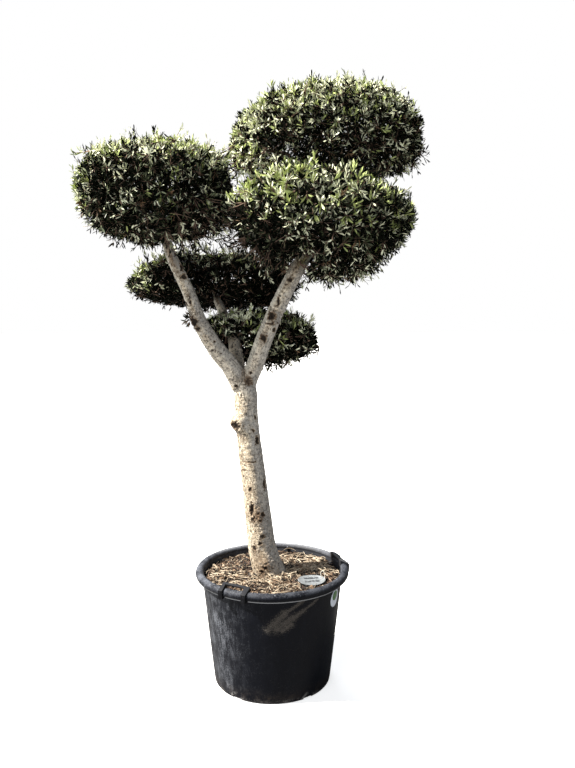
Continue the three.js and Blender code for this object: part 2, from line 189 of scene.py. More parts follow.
class Finish(Graph):  # one material on a Principled shader
    def __init__(self, name, colour, roughness, shine=0.5):
        self.material = bpy.data.materials.new(name)
        self.material.use_nodes = True
        self.material.diffuse_color = (*colour, 1)
        super().__init__(self.material.node_tree)
        self.shader = self.tree.nodes["Principled BSDF"].inputs
        self.shader["Base Color"].default_value = (*colour, 1)
        self.shader["Roughness"].default_value = roughness
        self.shader["Specular IOR Level"].default_value = shine

    def place(self):  # the object's own coordinates, in metres
        return self.node("ShaderNodeTexCoord", out="Object")

    def mapped(self, place, **settings):
        inputs = {"Vector": place, **{name.title(): value for name, value in settings.items()}}
        return self.node("ShaderNodeMapping", {}, inputs)

    def axes(self, place):
        split = self.node("ShaderNodeSeparateXYZ", {}, {"Vector": place})
        return [Wire(self, output) for output in split.socket.node.outputs]

    def facing(self):  # how far the surface looks along x, y and z
        return self.axes(self.node("ShaderNodeNewGeometry", out="Normal"))

    def named(self, name, out="Fac"):  # an attribute of the mesh
        return self.node("ShaderNodeAttribute", {"attribute_name": name}, out=out)

    def cloud(self, place, size, detail=3, rough=0.55, warp=0.0):  # soft noise with spots of a size in mm
        values = {"Vector": place, "Scale": 1 / (size * mm), "Detail": detail,
                  "Roughness": rough, "Distortion": warp}
        return self.node("ShaderNodeTexNoise", {}, values)

    def cells(self, place, size, out="Distance"):
        return self.node("ShaderNodeTexVoronoi", {}, {"Vector": place, "Scale": 1 / (size * mm)}, out=out)

    def awayFrom(self, place, spot):  # how far a place is from a spot given in mm
        values = {0: place, 1: [c * mm for c in spot]}
        return self.node("ShaderNodeVectorMath", {"operation": "DISTANCE"}, values, out="Value")

    def warped(self, place, size, amount):  # the place, pushed about by noise, both in mm
        values = {"Vector": place, "Scale": 1 / (size * mm), "Detail": 2}
        push = self.node("ShaderNodeTexNoise", {}, values, out="Color")
        push = self.node("ShaderNodeVectorMath", {"operation": "SUBTRACT"}, {0: push, 1: (0.5, 0.5, 0.5)})
        values = {0: push, 1: (2 * amount * mm,) * 3, 2: place}
        return self.node("ShaderNodeVectorMath", {"operation": "MULTIPLY_ADD"}, values)

    def lines(self, place, size, thin, detail=3):  # thin lines where soft noise crosses its middle
        return (self.cloud(place, size, detail, 0.6) - 0.5).maths("ABSOLUTE").below(0, thin)

    def spots(self, place, size, share, wide):  # round spots in a share of the cells, of mixed widths
        chance = self.axes(self.cells(place, size, "Color"))[0]
        return (self.cells(place, size) + chance * (wide / share)).below(wide * 0.6, wide)

    def mix(self, factor, first, second):  # colours are triples or wires
        ends = [colour if isinstance(colour, Wire) else (*colour, 1) for colour in (first, second)]
        return self.node("ShaderNodeMix", {"data_type": "RGBA"}, {0: factor, 6: ends[0], 7: ends[1]}, out=2)

    def paint(self, tint, *layers):  # each layer is a mask and the colour that it lays over the last
        for mask, colour in layers:
            tint = self.mix(mask, tint, colour)
        self.feed(self.shader["Base Color"], tint)

    def rough(self, wire):
        self.feed(self.shader["Roughness"], wire)

    def relief(self, height, depth):  # bump of a depth in mm
        values = {"Height": height, "Distance": depth * mm, "Strength": 1.0}
        self.feed(self.shader["Normal"], self.node("ShaderNodeBump", {}, values))


# Meshes

def unit(vectors):
    vectors = np.asarray(vectors, float)
    return vectors / np.maximum(np.linalg.norm(vectors, axis=-1, keepdims=True), 1e-9)


def meshOf(name, points, faces, edges=()):
    mesh = bpy.data.meshes.new(name)
    mesh.from_pydata((np.asarray(points, float) * mm).tolist(), list(edges), faces)
    mesh.update()
    return mesh


def shown(name, mesh, *finishes, smooth=True):
    for finish in finishes:
        mesh.materials.append(finish.material)
    (mesh.shade_smooth if smooth else mesh.shade_flat)()
    thing = bpy.data.objects.new(name, mesh)
    scene.collection.objects.link(thing)
    return thing


@contextmanager
def editing(mesh):  # a mesh opened for bmesh's tools
    work = bmesh.new()
    work.from_mesh(mesh)
    yield work
    work.to_mesh(mesh)
    work.free()


def settle(piece, slot, *nodes):  # attaches a finished piece to the root body, hides the nodes it replaces and prints its triangles
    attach(piece, rootBody)
    if nodes:
        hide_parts(*nodes)
    print(f"{piece.name}: {sum(len(p.vertices) - 2 for p in piece.data.polygons)} triangles")


def applied(thing):  # the evaluated mesh takes the place of the modifiers
    bpy.context.view_layer.update()
    graph = bpy.context.evaluated_depsgraph_get()
    made = bpy.data.meshes.new_from_object(thing.evaluated_get(graph), depsgraph=graph)
    thing.modifiers.clear()
    thing.data = made
    made.name = thing.name
    return thing


def pointsOf(mesh):
    place = np.empty(len(mesh.vertices) * 3, np.float32)
    mesh.vertices.foreach_get("co", place)
    return place.reshape(-1, 3).astype(float) / mm


def movePoints(mesh, points):
    mesh.vertices.foreach_set("co", (points * mm).astype(np.float32).ravel())
    mesh.update()


def storeValues(mesh, name, values, kind="FLOAT"):
    data = mesh.attributes.new(name, kind, "POINT").data
    values = np.asarray(values, int if kind == "INT" else float)
    data.foreach_set("vector" if kind == "FLOAT_VECTOR" else "value", values.ravel())


def bumps(points, size, seed):  # smooth noise from -1 to 1 with lumps of a size in mm
    shift = Vector((seed * 7.3, seed * 3.1, seed * 5.7))
    return np.array([noise.noise(Vector(p) / size + shift) for p in points])


def ringFaces(rings, sides):  # quads between rings of points, capped at both ends
    faces = []
    for a in range(0, (rings - 1) * sides, sides):
        for j in range(sides):
            k = (j + 1) % sides
            faces.append((a + j, a + k, a + sides + k, a + sides + j))
    faces.append(tuple(reversed(range(sides))))
    faces.append(tuple(range((rings - 1) * sides, rings * sides)))
    return faces


def turnsRound(sides):
    return np.arange(sides) * 2 * pi / sides


def lathe(profile, sides):
    points = [(r * cos(t), r * sin(t), z) for r, z in profile for t in turnsRound(sides)]
    return points, ringFaces(len(profile), sides)


def seededRow(seed):  # the source's row of numbers from 0 to 1
    state = seed
    while True:
        state = (state * 1664525 + 1013904223) % 2**32
        yield state / 2**32


# Geometry Nodes: tubes along edges, and shapes dealt out on points

growthValues = {"aim": "FLOAT_VECTOR", "face": "FLOAT_VECTOR", "size": "FLOAT_VECTOR",
                "kind": "INT", "tone": "INT", "thick": "FLOAT"}  # what the trees read from a point


def growthTree(name, sockets):
    tree = bpy.data.node_groups.new(name, "GeometryNodeTree")
    tree.interface.new_socket("Geometry", in_out="OUTPUT", socket_type="NodeSocketGeometry")
    for label, kind in {"Geometry": "Geometry", **sockets}.items():
        tree.interface.new_socket(label, in_out="INPUT", socket_type="NodeSocket" + kind)
    graph = Graph(tree)
    group = tree.nodes.new("NodeGroupInput")
    given = {socket.name: Wire(graph, socket) for socket in group.outputs if socket.name}
    return graph, given


def closeTree(graph, geometry):
    end = graph.tree.nodes.new("NodeGroupOutput")
    graph.feed(end.inputs["Geometry"], geometry)


def namedValue(graph, name):
    return graph.node("GeometryNodeInputNamedAttribute", {"data_type": growthValues[name]}, {"Name": name})


def tubeTree():  # every edge path becomes a tapering tube
    graph, given = growthTree("tubes", {"Sides": "Int", "Finish": "Material"})
    ring = graph.node("GeometryNodeCurvePrimitiveCircle", {}, {"Resolution": given["Sides"], "Radius": 1.0})
    path = graph.node("GeometryNodeMeshToCurve", {}, {"Mesh": given["Geometry"]})
    values = {"Curve": path, "Profile Curve": ring, "Scale": namedValue(graph, "thick"), "Fill Caps": True}
    tube = graph.node("GeometryNodeCurveToMesh", {}, values)
    tube = graph.node("GeometryNodeSetShadeSmooth", {}, {"Geometry": tube})
    tube = graph.node("GeometryNodeRealizeInstances", {}, {"Geometry": tube})
    tube = graph.node("GeometryNodeSetMaterial", {}, {"Geometry": tube, "Material": given["Finish"]})
    closeTree(graph, tube)
    return graph.tree


def dealTree(name, tones):  # a shape of a kind on each point, turned along two axes, in one of some tones
    toneNames = [f"Tone {i}" for i in range(tones)]
    sockets = {"Shapes": "Collection", "Size": "Float", **dict.fromkeys(toneNames, "Material")}
    graph, given = growthTree(name, sockets)
    aim, face, sizes, kind, tone = (namedValue(graph, key) for key in list(growthValues)[:5])
    values = {"Collection": given["Shapes"], "Separate Children": True, "Reset Children": True}
    shapes = graph.node("GeometryNodeCollectionInfo", {"transform_space": "ORIGINAL"}, values)
    axes = {"primary_axis": "X", "secondary_axis": "Z"}
    turn = graph.node("FunctionNodeAxesToRotation", axes, {"Primary Axis": aim, "Secondary Axis": face})
    values = {"Vector": sizes, "Scale": given["Size"]}
    scaled = graph.node("ShaderNodeVectorMath", {"operation": "SCALE"}, values)
    values = {"Points": given["Geometry"], "Instance": shapes, "Pick Instance": True,
              "Instance Index": kind, "Rotation": turn, "Scale": scaled}
    dealt = graph.node("GeometryNodeInstanceOnPoints", {}, values)
    dealt = graph.node("GeometryNodeRealizeInstances", {}, {"Geometry": dealt})
    for i, label in enumerate(toneNames):
        here = graph.node("FunctionNodeCompare", {"data_type": "INT", "operation": "EQUAL"}, {2: tone, 3: i})
        values = {"Geometry": dealt, "Selection": here, "Material": given[label]}
        dealt = graph.node("GeometryNodeSetMaterial", {}, values)
    closeTree(graph, dealt)
    return graph.tree


def grow(name, mesh, tree, values):
    thing = bpy.data.objects.new(name, mesh)
    scene.collection.objects.link(thing)
    modifier = thing.modifiers.new("grow", "NODES")
    modifier.node_group = tree
    for item in tree.interface.items_tree:
        if item.in_out == "INPUT" and item.name in values:
            modifier[item.identifier] = values[item.name]
    kept = applied(thing).data.attributes
    for key in growthValues:
        if key in kept:
            kept.remove(kept[key])
    return thing


def shapeSet(name, meshes):  # a collection that only the trees read
    collection = bpy.data.collections.new(name)
    for i, mesh in enumerate(meshes):
        collection.objects.link(bpy.data.objects.new(f"{name}{i}", mesh))
    return collection


def dropShapes(collection):
    for thing in list(collection.objects):
        bpy.data.objects.remove(thing)
    bpy.data.collections.remove(collection)


def dealtPiece(name, tree, shapes, finishes, dealt):
    mesh = meshOf(name + "Points", dealt["at"], [])
    for key in ("aim", "face", "size", "kind", "tone"):
        storeValues(mesh, key, dealt[key] * mm if key == "size" else dealt[key], growthValues[key])
    tones = {f"Tone {i}": finish.material for i, finish in enumerate(finishes)}
    return grow(name, mesh, tree, {"Shapes": shapes, "Size": 1.0, **tones})


def tubePiece(name, tree, finish, paths, sides):  # paths are (points of each step, radius of each step)
    edges, first = [], 0
    for line, _ in paths:
        count, steps = line.shape[:2]
        starts = first + np.arange(count)[:, None] * steps + np.arange(steps - 1)
        edges.append(np.stack([starts, starts + 1], -1).reshape(-1, 2))
        first += count * steps
    points = np.concatenate([line.reshape(-1, 3) for line, _ in paths])
    thick = np.concatenate([radius.ravel() for _, radius in paths])
    mesh = meshOf(name + "Paths", points, [], np.concatenate(edges).tolist())
    storeValues(mesh, "thick", thick * mm)
    return grow(name, mesh, tree, {"Sides": sides, "Finish": finish.material})


# Pot

touchGap = 0.3
pot = {
    "height": 450, "footRadius": 228, "wallTopRadius": 277, "wall": 4, "floor": 4, "footRound": 7,
    "footFlat": 198, "beadCentre": 284, "beadRadius": 16, "beadFrom": -120, "beadSweep": 280, "beadSteps": 48,
    "innerHeights": (432, 430, 412, 390, 34, 4), "wallSteps": 30, "lip": 3.6, "lipTurn": -80, "lipWide": 6,
    "dent": 1.3, "dentSize": 150, "dentFrom": 8, "dentFull": 60, "dentPast": 150, "sides": 180,
    "axis": 0.01, "sharp": 35,
}
gussets = {"turns": [77, 257], "thick": 4, "deep": 14, "low": 420, "high": 441}
drains = {"count": 5, "first": -125, "wide": 40, "inner": 194, "outer": 236, "tall": 9}
drainTurns = [drains["first"] + 360 * i / drains["count"] for i in range(drains["count"])]
grips = {"grip_front": "front_grip", "grip_side": "side_grip"}  # the source's node and the piece in its place
gripShape = {"edge": 1.8, "slopeFrom": 281, "slope": 0.75, "above": 440, "bevelled": 40, "sharp": 30}
gripTints = {"deep": (0.003, 0.0033, 0.0045), "top": (0.03, 0.032, 0.038), "sideGripLight": (0.12, 0.122, 0.13),
             "worn": (0.022, 0.023, 0.028)}
soilTop = 400


def wallRadius(z):
    return pot["footRadius"] + (pot["wallTopRadius"] - pot["footRadius"]) * z / pot["height"]


def potProfile():
    foot, rounding, bead = pot["footRadius"], pot["footRound"], pot["beadRadius"]
    beadHeight = pot["height"] - bead
    profile = [(pot["axis"], 0), (pot["footFlat"], 0)]
    for turn in np.radians(np.linspace(-90, 0, 5)):
        profile.append((foot - rounding * (1 - cos(turn)), rounding * (1 + sin(turn))))
    for z in np.linspace(rounding, beadHeight - bead, pot["wallSteps"] + 1)[1:]:
        profile.append((wallRadius(z), z))
    for turn in np.linspace(pot["beadFrom"], pot["beadFrom"] + pot["beadSweep"], pot["beadSteps"] + 1):
        lip = pot["lip"] * exp(-(((turn - pot["lipTurn"]) / pot["lipWide"]) ** 2))
        reach, angle = bead + lip, radians(turn)
        profile.append((pot["beadCentre"] + reach * cos(angle), beadHeight + reach * sin(angle)))
    profile += [(wallRadius(z) - pot["wall"], z) for z in pot["innerHeights"]]
    return profile + [(pot["axis"], pot["floor"])]


def radialBox(inner, outer, wide, low, high, turn):
    points = [(x, y, z) for x in (inner, outer) for y in (-wide / 2, wide / 2) for z in (low, high)]
    c, s = cos(radians(turn)), sin(radians(turn))
    points = [(x * c - y * s, x * s + y * c, z) for x, y, z in points]
    return points, [(0, 1, 3, 2), (4, 6, 7, 5), (0, 4, 5, 1), (2, 3, 7, 6), (0, 2, 6, 4), (1, 5, 7, 3)]


def cutOrJoin(thing, other, operation):
    tool = shown("tool", meshOf("tool", *other), smooth=False)
    modifier = thing.modifiers.new("tool", "BOOLEAN")
    modifier.operation = operation
    modifier.solver = "EXACT"
    modifier.object = tool
    applied(thing)
    bpy.data.objects.remove(tool)


# A dried mud splash slants up the front: strokes from a point to a point, across and up, and how wide
splash = {
    "slope": 36, "strokes": [
        ((-12, 304), (50, 366), 30), ((20, 306), (78, 346), 33), ((42, 300), (74, 322), 24),
        ((46, 366), (116, 407), 14), ((70, 338), (118, 368), 19), ((112, 366), (168, 399), 10),
    ],
}
scuffs = [(-221, 200), (-205, 125), (-112, 365), (-87, 349), (-141, 219), (-190, 60), (-167, 296),
          (-226, 283)]  # across and up
potTints = {
    "deep": (0.002, 0.0027, 0.0055), "black": (0.008, 0.0095, 0.016), "leftSidePaintedSheen": (0.018, 0.019, 0.023),
    "inside": (0.07, 0.072, 0.08), "scuffsAndPaintedSheen": (0.14, 0.15, 0.172), "dust": (0.115, 0.125, 0.15),
    "rearRimGlint": (0.36, 0.375, 0.41), "speckle": (0.24, 0.25, 0.28), "lipDustAndHighlight": (0.3, 0.31, 0.33),
    "chips": (0.03, 0.03, 0.03), "soil": (0.1, 0.075, 0.055), "foot": (0.22, 0.215, 0.21),
    "mud": (0.155, 0.138, 0.12),
}


def splashMask(black, x, y, z, here, grain):
    slope = radians(splash["slope"])
    feathers = black.cloud(black.mapped(here, rotation=(0, slope, 0), scale=(0.8, 1, 2.0)), 13, 5, 0.8, 2.2)
    mud = 0.0
    for (fromX, fromZ), (toX, toZ), wide in splash["strokes"]:
        runX, runZ = (toX - fromX) * mm, (toZ - fromZ) * mm
        share = ((x - fromX * mm) * runX + (z - fromZ * mm) * runZ) * (1 / (runX**2 + runZ**2))
        share = share.maths("MAXIMUM", 0).maths("MINIMUM", 1)
        offX, offZ = x - fromX * mm - share * runX, z - fromZ * mm - share * runZ
        close = 1 - (offX * offX + offZ * offZ) ** 0.5 * (1 / wide / mm)
        mud = close.maths("MAXIMUM", mud)
    mud = (mud + (feathers - 0.5) * 3.2 + (grain - 0.5) * 0.9).above(0.3, 0.85) * mud.above(-0.3, 0.15)
    flecks = black.cloud(black.mapped(here, rotation=(0, slope, 0), scale=(1, 1, 2.6)), 7, 4, 0.8, 1.5)
    return mud * (0 - y).above(0.1, 0.2) * (0.3 + flecks.above(0.4, 0.6) * 0.7)


def plasticFinish():
    black = Finish("blackPlastic", (0.007, 0.0075, 0.009), 0.42, 0.12)
    here = black.place()
    x, y, z = black.axes(here)
    up = black.facing()[2]
    outward = (x * x + y * y) ** 0.5
    grain = black.cloud(here, 4, 4, 0.7)
    patches = black.cloud(here, 45, 5, 0.65)
    streaks = black.cloud(black.mapped(here, scale=(5, 5, 0.9)), 90, 5, 0.75, 0.5)
    scratches = black.lines(black.mapped(here, rotation=(0.3, 0.5, 0), scale=(4, 4, 1)), 40, 0.014, 2)
    inside = (outward - z * 0.109).below(0.2254, 0.2266) * z.above(0.39, 0.4)  # the wall leans out by 0.109
    # dust lies on the roll and on every ledge, and dries on the inner wall; on the left side it lies heavier,
    # as painted sheen
    dust = up.above(-0.2, 0.9) * (patches * 0.5 + grain * 0.5).above(0.38, 0.6)
    chips = up.above(0.1, 0.6) * black.spots(here, 9, 0.6, 0.4)
    speckle = black.spots(black.mapped(here, location=(3, 1, 2)), 5, 0.8, 0.5)
    # pale rubbing down the left side, in patches and scratches: real scuffs, and painted sheen where the
    # light falls on that side
    left = (0 - x).above(0.06, 0.25)
    scuffSheen = left * (streaks * 0.45 + patches * 0.35 + grain * 0.2).above(0.46, 0.6)
    scuffSheen = scuffSheen * (0.45 + grain.above(0.42, 0.6) * 0.55)
    for across, high in scuffs:
        near = black.awayFrom(here, (across, -170, high)).below(0.01, 0.075)
        scuffSheen = scuffSheen + near * (0 - x).above(0.02, 0.1) * (streaks + grain).above(0.9, 1.15) * 0.7
    scuffSheen = scuffSheen + scratches * (0 - x).above(-0.05, 0.2) * patches.above(0.42, 0.55) * 0.6
    # a pale line on the lip under the roll: dust, painted brighter as a highlight along the lit edge
    lipDustAndHighlight = z.between(0.4125, 0.4135, 0.4185, 0.4195) * outward.above(0.2815, 0.283)
    mud = splashMask(black, x, y, z, here, grain)
    # soil dust low down, and a foot rubbed pale
    low = z.below(0.0, 0.07) * up.below(0.3, 0.6) * (patches * 0.6 + grain * 0.5).above(0.46, 0.72)
    foot = z.below(0.006, 0.024) * (patches * 0.5 + grain * 0.6).above(0.5, 0.68)
    chipped = 0.0  # pale broken edges over the drains
    for turn in drainTurns:
        spot = (pot["footRadius"] * cos(radians(turn)), pot["footRadius"] * sin(radians(turn)), 0)
        away = black.awayFrom(here, spot)
        chipped = chipped + away.between(0.017, 0.021, 0.027, 0.033) * patches.above(0.4, 0.55)
    # the left of the pot is painted lighter all over: painted sheen from the light on that side
    masks = {
        "leftSidePaintedSheen": left * 0.4, "inside": inside * (0.25 + patches * 0.3), "scuffsAndPaintedSheen": scuffSheen * 0.6,
        "dust": dust * (0.5 + left * 0.4),
        # a pale line along the top of the rear rim: painted highlight
        "rearRimGlint": up.above(0.62, 0.97) * y.above(0.1, 0.25) * (0.2 + grain * 0.5),
        "speckle": up.above(0, 0.8) * speckle * grain.above(0.4, 0.6) * 0.8, "lipDustAndHighlight": lipDustAndHighlight * 0.9,
        "chips": chips * 0.6, "soil": low * 0.4, "foot": foot * 0.5 + chipped * 0.6, "mud": mud * 0.85,
    }
    base = black.mix(streaks.above(0.45, 0.8) * 0.4, potTints["deep"], potTints["black"])
    black.paint(base, *((mask, potTints[name]) for name, mask in masks.items()))
    black.rough(0.4 + dust * 0.25 + mud * 0.4 + low * 0.3 + patches * 0.12)
    black.relief(grain * 0.35 + streaks * 0.6 + mud * grain * 2, 0.9)
    return black


def makePot():
    points, faces = lathe(potProfile(), pot["sides"])
    points = np.array(points)
    dent = bumps(points * (1, 1, 0.6), pot["dentSize"], 3) * pot["dent"]
    onWall = np.clip((points[:, 2] - pot["dentFrom"]) / pot["dentFull"], 0, 1)
    onWall *= np.hypot(points[:, 0], points[:, 1]) > pot["dentPast"]
    points += unit(points * (1, 1, 0)) * (dent * onWall)[:, None]
    thing = shown("nursery_pot", meshOf("nurseryPot", points, faces), plasticFinish())
    low, high = gussets["low"], gussets["high"]
    inner, outer = wallRadius(high) - pot["wall"] - gussets["deep"], wallRadius(low) - pot["wall"] / 3
    for turn in gussets["turns"]:
        cutOrJoin(thing, radialBox(inner, outer, gussets["thick"], low, high, turn), "UNION")
    inner, outer, tall = drains["inner"], drains["outer"], drains["tall"]
    for turn in drainTurns:
        cutOrJoin(thing, radialBox(inner, outer, drains["wide"], -tall, tall, turn), "DIFFERENCE")
    thing.data.set_sharp_from_angle(angle=radians(pot["sharp"]))
    settle(thing, "pot_plastic", "pot")


def mergedCopy(node):
    mesh = frame["nodes"][node].data.copy()
    mesh.materials.clear()
    with editing(mesh) as work:
        bmesh.ops.remove_doubles(work, verts=work.verts, dist=0.00002)
        bmesh.ops.dissolve_limit(work, angle_limit=radians(1), verts=work.verts, edges=work.edges)
    return mesh


def makeGrips():
    plastic = Finish("gripPlastic", (0.008, 0.0085, 0.01), 0.45, 0.12)
    wear = plastic.cloud(plastic.place(), 8, 4, 0.7)
    up = plastic.facing()[2].above(0.1, 0.9)
    onSide = plastic.axes(plastic.place())[0].above(0.1, 0.2)  # the side grip is painted lighter, most on its top: painted light
    base = plastic.mix(up * 0.5, gripTints["deep"], gripTints["top"])
    sideGripLight, worn = onSide * (0.3 + up * 0.5), wear.above(0.5, 0.7) * 0.5
    plastic.paint(base, (sideGripLight, gripTints["sideGripLight"]), (worn, gripTints["worn"]))
    plastic.rough(0.4 + wear * 0.2)
    for node, piece in grips.items():
        thing = shown(piece, mergedCopy(node), plastic, smooth=False)
        points = pointsOf(thing.data)  # the arms slope down over the roll
        past = np.maximum(0, np.hypot(points[:, 0], points[:, 1]) - gripShape["slopeFrom"])
        points[:, 2] -= gripShape["slope"] * past * (points[:, 2] > gripShape["above"])
        movePoints(thing.data, points)
        bevel = thing.modifiers.new("edges", "BEVEL")
        bevel.width = gripShape["edge"] * mm
        bevel.segments = 2
        bevel.limit_method = "ANGLE"
        bevel.angle_limit = radians(gripShape["bevelled"])
        applied(thing)
        thing.data.shade_smooth()
        thing.data.set_sharp_from_angle(angle=radians(gripShape["sharp"]))
        settle(thing, "pot_plastic", node)


# Sticker: a plain green disc on a white oval, where the pot carries a label

sticker = {"turn": 332, "height": 371, "sunk": 0.15, "dentShare": 0.7, "rings": 6, "spokes": 48}
stickerParts = {  # half its width, half its height, how far up, how proud, and its paper: name, colour, worn
    "sticker_oval": (31, 35, 0, 0.5, ("stickerWhite", (0.78, 0.84, 0.95), (0.3, 0.34, 0.42))),
    "sticker_disc": (19, 19, 10, 0.9, ("stickerGreen", (0.035, 0.15, 0.02), (0.1, 0.2, 0.08))),
}


def stickerPatch(name, halfWide, halfTall, lift, proud, finish):
    rings, spokes = sticker["rings"], sticker["spokes"]
    grid = [(0.0, lift)]
    for share in np.arange(1, rings + 1) / rings:
        for angle in turnsRound(spokes):
            grid.append((halfWide * share * cos(angle), lift + halfTall * share * sin(angle)))
    points = []
    for depth in (proud, sticker["sunk"]):
        for across, rise in grid:
            z = sticker["height"] + rise
            radius = wallRadius(z) + depth + pot["dent"] * sticker["dentShare"]
            turn = radians(sticker["turn"]) + across / radius
            points.append((radius * cos(turn), radius * sin(turn), z))
    count = len(grid)
    faces = []
    for spoke in range(spokes):
        after = (spoke + 1) % spokes
        patch = [(0, 1 + spoke, 1 + after)]
        for a in range(1, (rings - 1) * spokes, spokes):
            b = a + spokes
            patch.append((a + spoke, b + spoke, b + after, a + after))
        faces += patch + [tuple(count + i for i in quad[::-1]) for quad in patch]
        edge = 1 + (rings - 1) * spokes
        faces.append((edge + spoke, count + edge + spoke, count + edge + after, edge + after))
    settle(shown(name, meshOf(name, points, faces), finish), "tag_plastic")


def paperFinish(name, colour, worn):
    paper = Finish(name, colour, 0.35)
    wear = paper.cloud(paper.place(), 9, 4, 0.7).above(0.56, 0.75)
    paper.paint(colour, (wear * 0.5, worn))
    paper.rough(0.3 + wear * 0.3)
    return paper


def makeSticker():
    for name, (*sizes, paper) in stickerParts.items():
        stickerPatch(name, *sizes, paperFinish(*paper))


# Soil and mulch

mulch = {
    "atTrunk": 419, "atWall": 412, "dip": 14, "dipToward": -52, "rough": 4.0, "rings": 60, "sides": 150,
    "bedBelow": 7, "seed": 5, "edgeGap": 5, "trunkRadius": 64, "trunkAt": (-14, 10), "tagGap": 9,
    "curlsFromTag": 0.85, "curlGap": 6, "curlLift": 5, "lift": (-3, 7), "pitch": 0.26, "roll": 0.35,
    "clump": 13, "clumped": 0.3, "bareToward": -50, "bareHalf": 17, "bareFrom": 222,
}
# Loose pieces: how many, length, width, thickness, and where the shares of the four tones end
litter = {
    "straw": {"count": 3700, "long": (11, 54), "gamma": (6, 3.9), "wide": (1.8, 4.4), "thick": 0.8,
              "tones": (0.22, 0.44, 0.64)},
    "chip": {"count": 1700, "long": (9, 26), "wide": (0.5, 0.9), "thick": (2, 5), "tones": (0.12, 0.34, 0.6)},
    "curl": {"count": 420, "long": (34, 74), "wide": (2.8, 4.6), "thick": 0.8, "tones": (0.75,)},
}
litterTones = [  # name, dark, light, size of the grain
    ("paleStraw", (0.25, 0.192, 0.13), (0.56, 0.475, 0.36), 14),
    ("tanStraw", (0.1, 0.062, 0.036), (0.27, 0.18, 0.115), 14),
    ("brownBark", (0.025, 0.014, 0.009), (0.1, 0.056, 0.035), 10),
    # near-black pieces: dark bark, painted darker as the shade in the gaps
    ("darkBark", (0.003, 0.002, 0.0015), (0.018, 0.012, 0.008), 10),
]
chipSeeds = (7, 19)
strawShapes = [{"bend": 0.10, "swing": 0.05}, {"bend": -0.05, "swing": 0.16}, {"bend": 0.2, "swing": -0.1}]
curlSteps = 7
curlShapes = [{"bend": 0.25, "swing": 0.35}, {"bend": 0.35, "swing": -0.55}]
curlSpots = [((105, 130), 75), ((30, -105), 60), ((-90, -60), 90), ((175, 60), 45)]  # middle and spread
tag = {
    "long": 108, "wide": 84, "thick": 2.0, "centre": (153, -66, 418), "tilt": 6, "turn": 8, "spokes": 72,
    "curl": (2.2, 1.0), "sharp": 40,
    "rows": [(0.02, -1), (0.6, -1), (0.97, -1), (1.0, -0.5), (1.0, 0.5), (0.97, 1), (0.9, 1), (0.88, 0.6),
             (0.5, 0.75), (0.02, 0.8)],  # share of the way out, and level from underside to top
    "tie": [(196, -66, 413), (203, -58, 421), (203, -52, 436), (196, -46, 447), (189, -48, 441),
            (190, -54, 428), (194, -60, 415)],
    "tieRadius": 1.3, "tieSteps": 24, "tieSides": 6,
}


def mulchHeight(x, y):
    r = np.hypot(x, y)
    share = r / (wallRadius(soilTop) - pot["wall"])
    toward = np.cos(np.arctan2(y, x) - radians(mulch["dipToward"]))
    dip = mulch["dip"] * np.maximum(0, toward) ** 4 * share**2
    return mulch["atTrunk"] + (mulch["atWall"] - mulch["atTrunk"]) * share**2 - dip


def soilFinish():
    soil = Finish("pottingSoil", (0.05, 0.034, 0.024), 0.95)
    crumbs = soil.cells(soil.place(), 6)
    soil.paint((0.022, 0.015, 0.011), (crumbs.above(0.1, 0.6), (0.085, 0.058, 0.04)))
    soil.relief(crumbs + soil.cloud(soil.place(), 3), 2.0)
    return soil


def litterFinish(name, dark, light, size):
    dry = Finish(name, light, 0.8)
    dry.paint(dark, (dry.cloud(dry.place(), size, 3, 0.6).above(0.35, 0.65), light))
    dry.relief(dry.cloud(dry.place(), 2.2), 0.4)
    return dry


def strawMesh(spec, steps=3):  # a bent three-sided strip, one unit long and wide
    points = []
    for x in np.arange(steps + 1) / steps:
        taper, arch = 0.5 * (1 - 0.55 * abs(2 * x - 1) ** 3), 24 * x * (1 - x)
        swing, bend = spec["swing"] * arch, spec["bend"] * arch
        for angle in np.radians((90, 210, 330)):
            points.append((x, swing + taper * cos(angle), bend + taper * sin(angle)))
    return meshOf("straw", np.array(points) / mm, ringFaces(steps + 1, 3))


def chipMesh(seed, sides=6):  # an irregular flake
    row = seededRow(seed)
    points = []
    for z, share in ((-0.5, 0.8), (0.5, 1.0)):
        for i in range(sides):
            angle = 2 * pi * (i + 0.6 * next(row)) / sides
            reach = share * (0.35 + 0.2 * next(row))
            points.append((0.5 + reach * cos(angle), reach * sin(angle), z + 0.4 * (next(row) - 0.5)))
    return meshOf("chip", np.array(points) / mm, ringFaces(2, sides))


def litterSpots(count, rng):  # places on the mulch that leave the trunk and the tag free
    radius = wallRadius(soilTop) - pot["wall"] - mulch["edgeGap"]
    spots = np.empty((0, 2))
    turn = radians(tag["turn"])
    while len(spots) < count:
        r, angle = radius * np.sqrt(rng.random(count)), 2 * pi * rng.random(count)
        tried = np.stack([r * np.cos(angle), r * np.sin(angle)], -1)
        fromTag = tried - tag["centre"][:2]
        across = fromTag @ [cos(turn), sin(turn)] / (tag["long"] / 2 + mulch["tagGap"])
        deep = fromTag @ [-sin(turn), cos(turn)] / (tag["wide"] / 2 + mulch["tagGap"])
        onTrunk = np.hypot(*(tried - mulch["trunkAt"]).T) < mulch["trunkRadius"]
        spots = np.concatenate([spots, tried[(across**2 + deep**2 > 1) & ~onTrunk]])
    return spots[:count]


